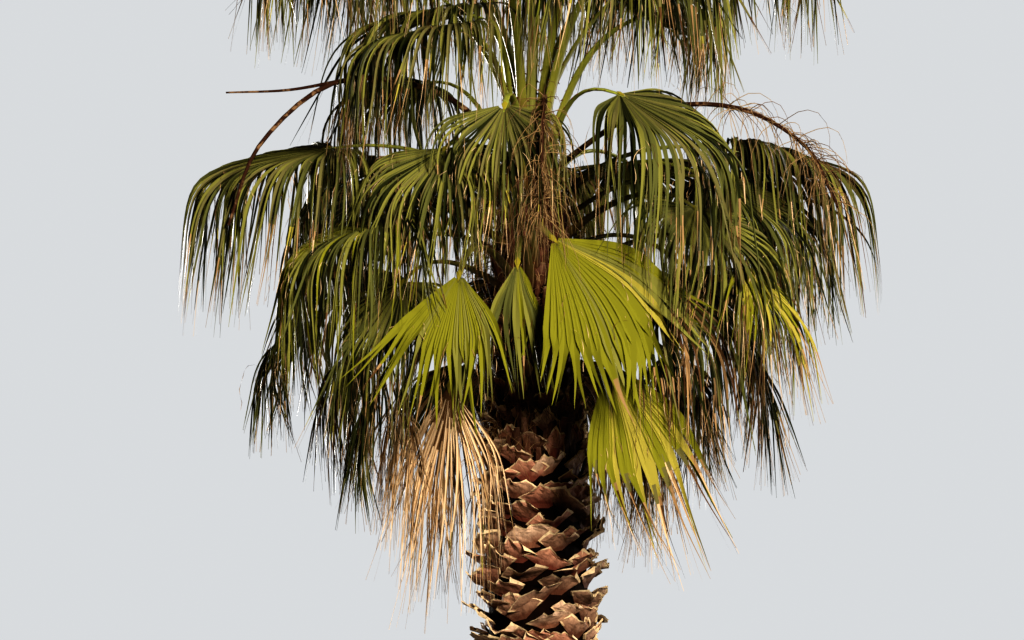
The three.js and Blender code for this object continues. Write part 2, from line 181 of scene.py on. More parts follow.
DEAD_FRONDS = dict(
    left=dict(at=(-0.38, -0.5, -1.13), face=-118, pitch=-87, long=1.1, spread=40, tone="straw"),
    left_outer=dict(at=(-0.6, -0.36, -1.1), face=-150, pitch=-84, long=0.76, spread=42),
    right=dict(at=(0.53, -0.3, -1.18), face=-38, pitch=-82, long=0.8, spread=34),
    back_right=dict(at=(0.36, 0.42, -1.16), face=50, pitch=-86, long=0.62, spread=40),
    back=dict(at=(-0.06, 0.55, -1.22), face=96, pitch=-86, long=0.88, spread=40),
    back_left=dict(at=(-0.42, 0.36, -1.2), face=142, pitch=-86, long=0.86, spread=40),
)


def all_fronds():
    """Every frond under its node's name, with what it doesn't state filled in."""
    fronds = {f"frond_{name}": dict(USUAL, **entry) for name, entry in FRONDS.items()}
    for tier, entry in BACK_TIERS.items():
        for i, way in enumerate(entry["ways"]):
            angle = math.radians(way)
            at = (entry["out"] * math.cos(angle), entry["out"] * math.sin(angle), entry["up"])
            fronds[f"frond_back_{tier}_{i + 1}"] = dict(USUAL, **entry, at=at, face=way)
    for name, entry in DEAD_FRONDS.items():
        fronds[f"dead_frond_{name}"] = dict(dict(USUAL, **CLOSED), **entry)
    return fronds


fronds = all_fronds()
print(len(fronds), "fronds")

# %% [markdown]
# Thousands of leaf segments, threads, thorns and leaf bases are alike. A mesh operator for each would be
# slow, so each kind is worked out for all its copies at once as arrays, and joined into one mesh. A small
# class holds the growing heap. Shapes that are swept or carved still start from bmesh operators, which
# make one copy of the shape as a pattern. Tips that would hang past the CAD part's box are eased back to it,
# because whoever places the part trusts that box.

# %% Hold things in the box
BOX_ROOM = 0.02
BOX_KNEE = 0.9


def held_in(points):
    """Eases what reaches past the CAD box sideways back to its edge, without a hard stop."""
    low, high = (np.array(corner) for corner in CAD_BOX)
    half = (high - low) / 2 * (1 + BOX_ROOM)
    reach = (points - (low + high) / 2) / half
    beyond = np.maximum(np.abs(reach) - BOX_KNEE, 0) / (1 - BOX_KNEE)
    eased = np.sign(reach) * (np.minimum(np.abs(reach), BOX_KNEE) + (1 - BOX_KNEE) * np.tanh(beyond))
    eased[..., 2] = reach[..., 2]
    return eased * half + (low + high) / 2


print("a point 9 m off is eased to", held_in(np.array([9.0, 9.0, 1.0])).round(2))

# %% A heap of small pieces
def in_scene(name, data):
    """A mesh, a light or a camera as an object at the origin of the scene."""
    thing = bpy.data.objects.new(name, data)
    bpy.context.scene.collection.objects.link(thing)
    return thing


class Heap:
    """Small like pieces, gathered as arrays and joined into one mesh."""

    def __init__(self):
        self.points = []
        self.faces = []
        self.slots = []
        self.size = 0

    def add(self, points, faces, slots):
        """Adds copies of a pattern. points: copy, corner, xyz. faces: face, corner. slots: copy, face."""
        count, corners, _ = points.shape
        first = self.size + corners * np.arange(count)
        self.faces.append((faces[None] + first[:, None, None]).reshape(-1, faces.shape[1]))
        self.slots.append(np.broadcast_to(slots, (count, len(faces))).reshape(-1))
        self.points.append(points.reshape(-1, 3))
        self.size += count * corners

    def joined(self, name, materials, smooth=True):
        """Makes the heap one mesh object with the given materials in its slots."""
        points = held_in(np.concatenate(self.points))
        corners = np.concatenate([faces.ravel() for faces in self.faces])
        sizes = np.concatenate([np.full(len(faces), faces.shape[1]) for faces in self.faces])
        mesh = bpy.data.meshes.new(name)
        mesh.vertices.add(len(points))
        mesh.vertices.foreach_set("co", points.ravel())
        mesh.loops.add(len(corners))
        mesh.loops.foreach_set("vertex_index", corners)
        mesh.polygons.add(len(sizes))
        mesh.polygons.foreach_set("loop_start", np.cumsum(sizes) - sizes)
        for material in materials:
            mesh.materials.append(material)
        mesh.polygons.foreach_set("material_index", np.concatenate(self.slots))
        mesh.polygons.foreach_set("use_smooth", np.full(len(sizes), smooth))
        mesh.update(calc_edges=True)
        return in_scene(name, mesh)


def joined_copies(name, points, faces, slots, materials, smooth=True):
    """A heap that holds copies of one pattern only."""
    heap = Heap()
    heap.add(points, faces, slots)
    return heap.joined(name, materials, smooth)


def pattern(bm):
    """A finished bmesh as a pattern for a heap: its points, its triangles and their material slots."""
    bmesh.ops.triangulate(bm, faces=bm.faces[:])
    points = np.array([v.co for v in bm.verts])
    faces = np.array([[v.index for v in f.verts] for f in bm.faces])
    slots = np.array([f.material_index for f in bm.faces])
    bm.free()
    return points, faces, slots


def strip_faces(rows, columns, left_out=()):
    """The quads of a strip with so many rows and columns of points, without some columns of quads."""
    corner = np.arange(rows * columns).reshape(rows, columns)
    quads = np.stack([corner[:-1, :-1], corner[1:, :-1], corner[1:, 1:], corner[:-1, 1:]], -1)
    kept = [c for c in range(columns - 1) if c not in left_out]
    return quads[:, kept].reshape(-1, 4)


def stand_for(piece, slot, *nodes):
    """The piece rides on the palm's one body and replaces those nodes. slot is not used."""
    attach(piece, "root")
    if nodes:
        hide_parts(*nodes)
    return piece


print("strips have", len(strip_faces(3, 4, left_out=(1,))), "quads for 3 rows of 4 points")

# %% [markdown]
# Colours and finishes come from shader nodes. Writing node graphs by hand is long, so a small class wraps a
# socket, and Python's operators on it add the Math nodes. Whatever else is needed goes through one method.
# Leaves are different: on joined meshes of many small leaves a pattern would fall anywhere, so each leaf
# colour is one plain material, and the colours are dealt out segment by segment.

# %% Shader expressions
# A Mix node's colour sockets share their names with its number sockets, so they go by their places.
MIX_FACTOR, MIX_FIRST, MIX_SECOND = 0, 6, 7
MIX_RESULT = 2


class Value:
    """A socket in a material, on which Python's operators add Math nodes."""

    def __init__(self, finish, socket):
        self.finish = finish
        self.socket = socket

    def reckon(self, operation, *others):
        return self.finish.node("Math", dict(operation=operation), self, *others)

    def __add__(self, other):
        return self.reckon("ADD", other)

    def __sub__(self, other):
        return self.reckon("SUBTRACT", other)

    def __rsub__(self, other):
        return self.finish.node("Math", dict(operation="SUBTRACT"), other, self)

    def __mul__(self, other):
        return self.reckon("MULTIPLY", other)

    __radd__ = __add__
    __rmul__ = __mul__

    def between(self, low, high):
        """0 below low, 1 above high and even in between."""
        return self.finish.node("MapRange", {}, self, low, high)


class Finish:
    """A material under construction, with one way to add any node."""

    def __init__(self, name, roughness, gloss=0.5):
        self.material = bpy.data.materials.new(name)
        self.material.use_nodes = True
        self.tree = self.material.node_tree
        self.surface = self.tree.nodes["Principled BSDF"]
        self.surface.inputs["Roughness"].default_value = roughness
        self.surface.inputs["Specular IOR Level"].default_value = gloss

    def put(self, value, socket):
        if isinstance(value, Value):
            self.tree.links.new(value.socket, socket)
        elif hasattr(value, "__len__") and len(value) == 3 and socket.type == "RGBA":
            socket.default_value = (*value, 1)
        else:
            socket.default_value = value

    def node(self, kind, settings, *values, output=0, places=None, **named):
        """Adds a node of that type with its settings, and fills its sockets in order, by place or by name."""
        node = self.tree.nodes.new("ShaderNode" + kind)
        for name, setting in settings.items():
            if name == "stops":
                for stop in setting[2:]:
                    node.color_ramp.elements.new(stop[0])
                for element, (place, colour) in zip(node.color_ramp.elements, setting):
                    element.position = place
                    element.color = (*colour, 1)
            else:
                setattr(node, name, setting)
        filled = dict(enumerate(values)) | (places or {})
        filled |= {name.replace("_", " "): value for name, value in named.items()}
        for socket, value in filled.items():
            self.put(value, node.inputs[socket])
        return Value(self, node.outputs[output])

    def mix(self, factor, first, second):
        """A colour between two others."""
        places = {MIX_FACTOR: factor, MIX_FIRST: first, MIX_SECOND: second}
        return self.node("Mix", dict(data_type="RGBA"), output=MIX_RESULT, places=places)

    def place(self):
        return self.node("TexCoord", {}, output="Object")

    def along(self):
        """How far along its own length a point of a piece is, from its UV map."""
        return self.node("SeparateXYZ", {}, self.node("TexCoord", {}, output="UV"))

    def stretched(self, scale):
        """Object coordinates, stretched so that a pattern runs along the trunk."""
        return self.node("Mapping", {}, self.place(), Scale=scale)

    def grain(self, vector, scale, detail=4.0, roughness=0.6):
        return self.node("TexNoise", {}, Vector=vector, Scale=scale, Detail=detail, Roughness=roughness)

    def bumps(self, height, strength, distance):
        bump = self.node("Bump", {}, Strength=strength, Distance=distance, Height=height)
        self.put(bump, self.surface.inputs["Normal"])

    def done(self, colour, roughness=None):
        self.put(colour, self.surface.inputs["Base Color"])
        if roughness is not None:
            self.put(roughness, self.surface.inputs["Roughness"])
        return self.material


print("shader expressions are ready")

# %% Leaf colours
PLAIN_GLOSS = 0.24


def plain(name, colour, roughness):
    """One plain colour, as for a kind of leaf segment."""
    return Finish(name, roughness, PLAIN_GLOSS).done(colour)


LEAF_COLOURS = dict(
    # painted_shade is a near-black green that paints the shade on strips hanging in the crown's shadow.
    painted_shade=((0.02, 0.024, 0.008), 0.5),
    green=((0.104, 0.112, 0.036), 0.4),
    olive=((0.158, 0.148, 0.058), 0.4),
    fresh=((0.198, 0.2, 0.052), 0.38),
    bright=((0.205, 0.208, 0.022), 0.55),
    yellow=((0.36, 0.32, 0.065), 0.5),
    straw=((0.66, 0.49, 0.31), 0.42),
    tan=((0.36, 0.235, 0.12), 0.6),
    brown=((0.11, 0.058, 0.026), 0.6),
)
LEAF_NAMES = list(LEAF_COLOURS)
leaf_materials = [plain(f"leaf_{name}", colour, rough) for name, (colour, rough) in LEAF_COLOURS.items()]


def leaf_paints(*names):
    """The materials of some leaf colours."""
    return [leaf_materials[LEAF_NAMES.index(name)] for name in names]


print(len(leaf_materials), "leaf colours")

# %% [markdown]
# A fan leaf is one pleated sheet near its stalk, which parts into segments further out. Each segment is a
# V-shaped strip: its middle rib is the bottom of a fold, and its edges are the tops, joined to the next
# segment's edges as far as the sheet is fused. Past that the fold closes, the strip hangs down under its
# own weight, twists, and ends in two thin tips. A grid of cloth could be simulated, but the strips' rules
# are known: a line for each rib that bends from the fan's plane towards the ground, and a frame along it.

# %% Lines that droop
BLADE_START = 0.03
SIDE_SHORTENING = 0.25
BEND_FROM = 0.2
BEND_TO = 0.66
STEPS = 24


def blade_axes(frond):
    """A frond's directions: along its middle rib and across the fan."""
    face = math.radians(frond["face"])
    pitch = math.radians(frond["pitch"])
    out = Vector((math.cos(face), math.sin(face), 0))
    across = Vector((-math.sin(face), math.cos(face), 0))
    along = out * math.cos(pitch) + Vector(UP) * math.sin(pitch)
    swing = Quaternion(along.cross(across), math.radians(frond["swing"]))
    along = swing @ along
    across = Quaternion(along, math.radians(frond["roll"])) @ (swing @ across)
    return np.array(along), np.array(across)


def drooping_lines(start, way, length, droop, bend_from, bend_to, steps=STEPS):
    """Lines that leave their start in a direction and bend down, by one value for all or one a line."""
    droop, bend_from, bend_to = (np.broadcast_to(v, len(start))[:, None] for v in (droop, bend_from, bend_to))
    share = np.arange(steps) / steps
    bend = (droop * smoothstep(share, bend_from, bend_to))[..., None]
    ways = unit(way[:, None] * (1 - bend) + DOWN * bend)
    moved = np.cumsum(ways * (length / steps)[:, None, None], axis=1)
    return np.concatenate([start[:, None], start[:, None] + moved], axis=1)


def carried(side, start, lines):
    """A sideways direction carried along each line without turning about it."""
    tangent = unit(np.gradient(lines, axis=1))
    start = start[:, None]
    both = start + tangent
    lean = (tangent * side[:, None]).sum(-1, keepdims=True) / (1 + (start * tangent).sum(-1, keepdims=True))
    return unit(side[:, None] - lean * both), tangent


print("a segment's line has", STEPS + 1, "points")

# %% [markdown]
# How the colours are dealt: each tone is a mix of leaf colours, with a share of segments whose tips have
# dried, and how far up they have. Two faces of one segment share its colour, so that the light on the fold
# does the rest.

# %% Leaf tones
# A tone's painted_shade share paints shade on some strips: most in the dark tone, for fronds deep in the
# crown, less in the old, green and fresh tones.
TONES = dict(
    bright=(dict(bright=0.8, fresh=0.16, yellow=0.04), 0.2, 0.9),
    fresh=(dict(fresh=0.4, bright=0.26, green=0.2, painted_shade=0.14), 0.35, 0.85),
    green=(dict(green=0.32, fresh=0.31, olive=0.17, painted_shade=0.2), 0.6, 0.8),
    dark=(dict(painted_shade=0.7, green=0.22, olive=0.08), 0.4, 0.8),
    old=(dict(painted_shade=0.58, green=0.16, olive=0.1, tan=0.04, brown=0.12), 0.6, 0.74),
    yellowing=(dict(bright=0.55, yellow=0.34, fresh=0.08, straw=0.03), 0.85, 0.68),
    straw=(dict(straw=0.84, tan=0.14, brown=0.02), 0.3, 0.8),
    dry=(dict(tan=0.5, brown=0.3, straw=0.2), 0.5, 0.7),
)
TIP_COLOURS = dict(tan=0.5, brown=0.38, straw=0.12)
FADING_COLOURS = dict(yellow=0.15, tan=0.35, olive=0.5)
FADING = 0.06
NOT_DRY = 2
DRY_VARIES = 0.08
DRY_RAGGED = 0.04
DEAD_TONES = ("straw", "dry")
ROOT_BROWN_AND_SHADE = 0.13
ROOT_RAGGED = (0.3, 1.9)


def picked(mix, shape):
    """Random leaf colours, as slots, in the mix's shares."""
    weights = np.array(list(mix.values()))
    slots = np.array([LEAF_NAMES.index(name) for name in mix])
    return slots[rng.choice(len(slots), shape, p=weights / weights.sum())]


def deal_dryness(tone, count):
    """The share of each segment's length from which it is dry, past 1 where it isn't."""
    _, tip_share, tip_from = TONES[tone]
    return np.where(rng.random(count) < tip_share, tip_from + rng.normal(0, DRY_VARIES, count), NOT_DRY)


def deal_colours(tone, dry_from, rows):
    """A colour slot for both halves of every row of every segment."""
    count = len(dry_from)
    body = picked(TONES[tone][0], (count, 1, 1))
    fading = picked(FADING_COLOURS, (count, 1, 1))
    tip = picked(TIP_COLOURS, (count, 1, 2))
    begins = dry_from[:, None, None] + rng.normal(0, DRY_RAGGED, (count, 1, 2))
    share = ((np.arange(rows) + 0.5) / rows)[None, :, None]
    slots = np.where(share > begins - FADING, fading, body)
    slots = np.where(share > begins, tip, slots)
    # Dead fronds turn brown near their stalk: partly their own dry colour, partly painted shade where their
    # strips meet under the fans.
    if tone in DEAD_TONES:
        ends = ROOT_BROWN_AND_SHADE * rng.uniform(*ROOT_RAGGED, (count, 1, 2))
        slots = np.where(share < ends, LEAF_NAMES.index("brown"), slots)
    return slots.reshape(count, -1)


print("tones:", ", ".join(TONES))

# %% [markdown]
# One fan. The fused share of the sheet, the fold's angle and the free strips' taper are the values that
# shape it. Each segment gets its own small differences in length, droop, lean and twist, because in a real
# fan no two strips hang alike, and those differences are what makes the light glitter on them.

# %% Sizes of a fan's segments
FOLD_FUSED = math.radians(27)
FOLD_FREE = math.radians(47)
FOLD_VARIES = math.radians(13)
CLOSED_BY = 0.3
OVERLAP = 1.45
FEWEST_SEGMENTS = 6
LENGTH_VARIES = 0.06
LENGTH_RANGE = (0.8, 1.07)
FUSED_VARIES = 0.06
DROOP_VARIES = 0.04
BEND_FROM_VARIES = 0.03
BEND_TO_VARIES = 0.06
ODD_STRIPS = 0.06
ODD_DROOP = (0.5, 0.9)
STRIP_TAPER = 0.72
STRIP_TWIST = 0.7
TWISTED_BY = 0.8
STRIP_LEAN = 0.045
CLUMP_LEAN = 0.06
CLUMP = 5
LEAN_GROWTH = 1.3
TIP_HALF_WIDTH = 0.0013
TIPS_PART = 0.03
PARTING = (0.45, 1.1)
PARTING_LEAST = 0.2
SHRIVELLING = 0.55
SHRIVEL_EDGE = 0.12
FAN_FACES = strip_faces(STEPS + 1, 4, left_out=(1,))
print("a segment has", len(FAN_FACES), "quads")

# %% Build one fan
def clumped(count):
    """Smooth random sideways pushes that neighbours share, since strips hang in bunches."""
    knots = rng.normal(0, CLUMP_LEAN, (count // CLUMP + 3, 2))
    place = np.arange(count) / CLUMP
    low = place.astype(int)
    part = smoothstep(place - low, 0, 1)[:, None]
    return knots[low] * (1 - part) + knots[low + 1] * part


def fan_ribs(frond):
    """Each segment's rib as a line, its first way and side, its length, and from where it is dry."""
    along, across = blade_axes(frond)
    spread = math.radians(frond["spread"])
    count = max(FEWEST_SEGMENTS, round(2 * spread / math.radians(frond["pleat"])))
    step = 2 * spread / count
    dry_from = deal_dryness(frond["tone"], count)
    angle = (np.arange(count) + 0.5) * step - spread
    start = np.cos(angle)[:, None] * along + np.sin(angle)[:, None] * across
    side = np.cos(angle)[:, None] * across - np.sin(angle)[:, None] * along
    shortening = 1 - SIDE_SHORTENING * (angle / spread) ** 2
    length = frond["long"] * shortening * rng.normal(1, LENGTH_VARIES, count).clip(*LENGTH_RANGE)
    foot = HEART + np.array(frond["at"]) + start * BLADE_START
    odd = np.where(rng.random(count) < ODD_STRIPS, rng.uniform(*ODD_DROOP, count), 1)
    droop = (frond["droop"] * rng.normal(1, DROOP_VARIES, count) * odd).clip(0, 1)
    bend_from = BEND_FROM + rng.normal(0, BEND_FROM_VARIES, count)
    bend_to = BEND_TO + rng.normal(0, BEND_TO_VARIES, count)
    lines = drooping_lines(foot, start, length - BLADE_START, droop, bend_from, bend_to)
    return lines, start, side, length, shortening, step, dry_from


def fan_segments(frond):
    """The four lines of points along each segment, as segment, row, column, xyz, and its dryness."""
    lines, start, side, length, shortening, step, dry_from = fan_ribs(frond)
    count = len(length)
    share = np.linspace(0, 1, STEPS + 1)[None]
    reach = BLADE_START + share * (length - BLADE_START)[:, None]
    fused = frond["fused"] * shortening * frond["long"] * rng.normal(1, FUSED_VARIES, count)
    widest = frond["widest"] * shortening * frond["long"]
    free = ((reach - fused[:, None]) / (length - fused)[:, None]).clip(0, 1)
    narrowing = ((reach - widest[:, None]) / (length - widest)[:, None]).clip(0, 1)
    lean = rng.normal(0, STRIP_LEAN, (count, 2)) + clumped(count)
    lines[..., 0] += lean[:, :1] * free**LEAN_GROWTH
    lines[..., 1] += lean[:, 1:] * free**LEAN_GROWTH
    side, tangent = carried(side, start, lines)
    normal = np.cross(tangent, side)
    twist = (rng.normal(0, STRIP_TWIST, count)[:, None] * smoothstep(free, 0, TWISTED_BY))[..., None]
    twisted = side * np.cos(twist) + normal * np.sin(twist)
    normal = normal * np.cos(twist) - side * np.sin(twist)
    side = twisted

    half = np.minimum(reach, widest[:, None]) * math.tan(step / 2) * OVERLAP * (1 - narrowing) ** STRIP_TAPER
    dried = dry_from[:, None]
    half = half * (1 - SHRIVELLING * smoothstep(share, dried - SHRIVEL_EDGE, dried + SHRIVEL_EDGE))
    half = np.maximum(half, TIP_HALF_WIDTH)
    closing = smoothstep(free, 0, CLOSED_BY)
    fold = FOLD_FUSED + (FOLD_FREE - FOLD_FUSED + rng.normal(0, FOLD_VARIES, count)[:, None]) * closing
    wide = (half * np.cos(fold) / math.cos(FOLD_FUSED))[..., None]
    high = (half * np.sin(fold) / math.cos(FOLD_FUSED))[..., None]
    parted = smoothstep(free, *PARTING) * rng.uniform(PARTING_LEAST, 1, count)[:, None]
    parting = (TIPS_PART * parted)[..., None]
    rib = lines - normal * high / 2
    edge = lines + normal * high / 2
    outer = side * (wide + parting)
    columns = [edge - outer, rib - side * parting, rib + side * parting, edge + outer]
    return np.stack(columns, axis=2), dry_from


def kind_of(name):
    """The kind of a frond, dead or living, by its name."""
    return "dead_frond" if name.startswith("dead") else "frond"


def build_fan(name, frond):
    columns, dry_from = fan_segments(frond)
    points = columns.reshape(len(columns), -1, 3)
    slots = deal_colours(frond["tone"], dry_from, STEPS)
    piece = joined_copies(f"{name}_fan", points, FAN_FACES, slots, leaf_materials)
    return stand_for(piece, kind_of(name), name), columns


fans = {name: build_fan(name, frond) for name, frond in fronds.items()}
print(sum(len(piece.data.polygons) for piece, _ in fans.values()), "quads in", len(fans), "fans")

# %% [markdown]
# Where the segments part, the fan of this palm frays into curling threads. They are thin ribbons here, a
# little thicker than life so that they can be seen, one at each parting, hanging and curling as they dry.

# %% Threads
THREAD_STEPS = 9
THREAD_HALF_WIDTH = 0.0014
THREADS_FROM, THREADS_TO = 0.36, 0.6
THREAD_SPREAD, THREAD_FALL = 0.6, 0.4
THREAD_LENGTHS = (0.1, 0.34)
THREAD_TURNS, THREAD_PHASES = (4, 14), (0, 6)
THREAD_TILT = 0.3
THREAD_CURLS = (0.004, 0.016)
THREAD_BEND = dict(droop=0.95, bend_from=-0.3, bend_to=0.6)
THREAD_COLOURS = ("straw", "tan", "brown")
THREAD_FACES = strip_faces(THREAD_STEPS + 1, 2)


def build_threads():
    heap = Heap()
    for name, (_, columns) in fans.items():
        count = len(columns)
        row = rng.integers(int(THREADS_FROM * STEPS), int(THREADS_TO * STEPS), count)
        start = columns[np.arange(count), row, 3]
        way = unit(rng.normal(0, THREAD_SPREAD, (count, 3)) + DOWN * THREAD_FALL)
        length = rng.uniform(*THREAD_LENGTHS, count)
        lines = drooping_lines(start, way, length, **THREAD_BEND, steps=THREAD_STEPS)
        share = np.linspace(0, 1, THREAD_STEPS + 1)
        turn = share * rng.uniform(*THREAD_TURNS, count)[:, None]
        turn = turn + rng.uniform(*THREAD_PHASES, count)[:, None]
        curl = share * rng.uniform(*THREAD_CURLS, count)[:, None]
        lines[..., 0] += curl * np.cos(turn)
        lines[..., 1] += curl * np.sin(turn)
        side = unit(outward(turn) + UP * THREAD_TILT) * THREAD_HALF_WIDTH
        points = np.stack([lines - side, lines + side], axis=2)
        tint = rng.integers(0, len(THREAD_COLOURS), (count, 1))
        heap.add(points.reshape(count, -1, 3), THREAD_FACES, tint)
    return stand_for(heap.joined("leaf_threads", leaf_paints(*THREAD_COLOURS)), "dead_frond")


threads = build_threads()
print(len(threads.data.polygons), "thread quads")

# %% [markdown]
# Leaf stalks and flower stalks are limbs swept along a line. bmesh makes the pattern: a unit cylinder whose
# long edges are cut into rows. A sweep then moves each row to its place, so one pattern serves every limb.

# %% Sweep a limb
def limb_pattern(sides, rows):
    """A unit cylinder with rows of points from 0 to 1: its section, its row numbers and its faces."""
    bm = bmesh.new()
    bmesh.ops.create_cone(bm, cap_ends=True, segments=sides, radius1=1, radius2=1, depth=1)
    long = [e for e in bm.edges if abs(e.verts[0].co.z - e.verts[1].co.z) > 0.5]
    bmesh.ops.subdivide_edges(bm, edges=long, cuts=rows - 2, use_grid_fill=True)
    points, faces, _ = pattern(bm)
    row = np.round((points[:, 2] + 0.5) * (rows - 1)).astype(int)
    return points[:, :2], row, faces


def sweep(limb, lines, across, width, depth):
    """Sweeps a limb pattern along lines, with its width across and its depth at every row."""
    section, row, _ = limb
    tangent = unit(np.gradient(lines, axis=1))
    lift = unit(np.cross(tangent, across))
    across = np.cross(lift, tangent)
    x = (section[None, :, 0] * width[:, row])[..., None]
    y = (section[None, :, 1] * depth[:, row])[..., None]
    return lines[:, row] + across[:, row] * x + lift[:, row] * y


def between_rows(values, place):
    """Values at places between the rows of a limb, and the steps from row to row that they lie in."""
    low = place.astype(int)
    step = values[low + 1] - values[low]
    return values[low] + step * (place - low)[:, None], step


def add_rows_uv(piece, along):
    """Gives a piece a UV map whose U is each point's share along its own limb."""
    layer = piece.data.uv_layers.new(name="along")
    corner = np.empty(len(piece.data.loops), int)
    piece.data.loops.foreach_get("vertex_index", corner)
    uv = np.stack([along[corner], np.zeros(len(corner))], -1)
    layer.data.foreach_set("uv", uv.ravel())


STALK_ROWS = 16
STALK = limb_pattern(10, STALK_ROWS)
print("a stalk has", len(STALK[2]), "triangles")

# %% [markdown]
# A leaf stalk leaves the trunk upwards and arches over to its fan. It is flat on top and keeled below, wide
# and brown where it clasps the trunk, green further out, with rows of small hooked thorns on its edges.
# A cubic curve between the trunk and the fan gives its line.

# %% Leaf stalk finishes
def stalk_finish(name, colours, roughness, gloss=0.5, husks=None):
    """From the colour at a stalk's foot through its middle one to its end's, with a grain and torn husks."""
    finish = Finish(name, roughness, gloss)
    foot, middle, end = colours
    grain = finish.grain(finish.place(), scale=60)
    streak = finish.grain(finish.place(), scale=9)
    place = finish.along() + (streak - 0.5) * 0.3
    colour = finish.node("ValToRGB", dict(stops=[(0.1, foot), (0.3, middle), (0.95, end)]), place)
    colour = finish.mix(grain.between(0.5, 0.75) * 0.4, colour, [0.6 * c for c in middle])
    if husks:
        torn = finish.grain(finish.place(), scale=17)
        colour = finish.mix(torn.between(0.53, 0.6), colour, husks)
    finish.bumps(grain, strength=0.35, distance=0.004)
    return finish.done(colour, grain * 0.3 + (roughness - 0.15))


green_stalk = stalk_finish(
    "green_leaf_stalk", [(0.12, 0.055, 0.02), (0.2, 0.2, 0.035), (0.3, 0.34, 0.06)], roughness=0.42)
dull_stalk = stalk_finish(
    "old_leaf_stalk", [(0.1, 0.045, 0.02), (0.13, 0.11, 0.03), (0.17, 0.17, 0.04)], roughness=0.5)
dry_stalk = stalk_finish(
    "dry_leaf_stalk", [(0.13, 0.06, 0.03), (0.2, 0.11, 0.05), (0.3, 0.18, 0.08)], roughness=0.7)
thorn_finish = plain("thorn", (0.13, 0.05, 0.02), 0.45)
print("finishes for stalks made")

# %% Sizes of the leaf stalks
STALK_HALF_WIDTHS = [0.05, 0.034, 0.027, 0.022, 0.014, 0.004]
STALK_WIDTH_PLACES = [0, 0.08, 0.25, 0.6, 0.96, 1]
STALK_FLATNESS = 0.62
STALK_TOP_FLATNESS = 0.25
STALK_REACH = 0.38
STALK_INTO_FAN = 0.05
SEAT_DEPTH = 0.06
SEAT_DROP = 0.25
SEAT_SHARE_ABOVE, SEAT_SHARE_BELOW = 0.24, 0.62
CLIMB_AT_HEART, CLIMB_PER_METRE = 48, 30
CLIMB_LEAST, CLIMB_MOST = 12, 82
GREEN_ABOVE = -0.2
THORNS = 13
THORNS_FROM, THORNS_TO = 0.12, 0.9
THORN_PLACE_VARIES = 0.012
THORN_LENGTH = 0.016
THORN_FIRST, THORN_SHRINKING = 1.15, 0.6
THORN_SIZES = (0.8, 1.2)
THORN_FOOT, THORN_TIP = 0.3, 0.02
THORN_HOOK = 0.5
THORN_SEAT = 0.93
FLAP_BACK, FLAP_HALF, FLAP_LENGTH, FLAP_HIGH = 0.02, 0.016, 0.045, 0.008
FLAP_FACES = np.array([[0, 1, 4], [1, 2, 4], [2, 3, 4], [3, 0, 4]])
print("a leaf stalk carries", 2 * THORNS, "thorns")

# %% A stalk's line and its thorns
def stalk_line(frond):
    """The points of a frond's stalk, as the CAD part works them out."""
    end = np.array(frond["at"])
    out = unit(end * [1, 1, 0])
    seat = end[2] * (SEAT_SHARE_ABOVE if end[2] > 0 else SEAT_SHARE_BELOW) - SEAT_DROP
    climb = CLIMB_AT_HEART + CLIMB_PER_METRE * end[2]
    climb = math.radians(min(max(climb, CLIMB_LEAST), CLIMB_MOST))
    rise = out * math.cos(climb) + UP * math.sin(climb)
    height = HEART[2] + seat
    root = axis_at(height) + out * max(trunk_radius(height) - SEAT_DEPTH, 0)
    top = end + HEART
    reach = np.linalg.norm(root - top) * STALK_REACH
    along, across = blade_axes(frond)
    a, b, c, d = root, root + rise * reach, top - along * reach, top + along * STALK_INTO_FAN
    t = np.linspace(0, 1, STALK_ROWS)[:, None]
    line = a * (1 - t) ** 3 + 3 * b * t * (1 - t) ** 2 + 3 * c * t * t * (1 - t) + d * t**3
    return line, across


def thorn_pattern():
    bm = bmesh.new()
    bmesh.ops.create_cone(bm, cap_ends=True, segments=4, radius1=THORN_FOOT, radius2=THORN_TIP, depth=1)
    bmesh.ops.translate(bm, verts=bm.verts[:], vec=(0, 0, 0.5))
    return pattern(bm)


THORN = thorn_pattern()


def add_thorns(heap, line, across, width):
    """Hooked thorns along both edges, shorter towards the fan."""
    points, faces, _ = THORN
    share = np.linspace(THORNS_FROM, THORNS_TO, THORNS) + rng.normal(0, THORN_PLACE_VARIES, THORNS)
    middle, step = between_rows(line, share * (STALK_ROWS - 1))
    half, _ = between_rows(width[:, None], share * (STALK_ROWS - 1))
    tangent = unit(step)
    lift = unit(np.cross(tangent, across))
    for sign in (-1, 1):
        edge = np.cross(lift, tangent) * sign
        size = THORN_LENGTH * (THORN_FIRST - THORN_SHRINKING * share) * rng.uniform(*THORN_SIZES, THORNS)
        point = unit(edge - tangent * THORN_HOOK)[:, None]
        placed = points[None, :, 2:] * point + points[None, :, 1:2] * lift[:, None]
        placed = placed + points[None, :, :1] * np.cross(lift[:, None], point)
        heap.add((middle + edge * half * THORN_SEAT)[:, None] + placed * size[:, None, None], faces, 1)


print("a thorn has", len(THORN[1]), "triangles")

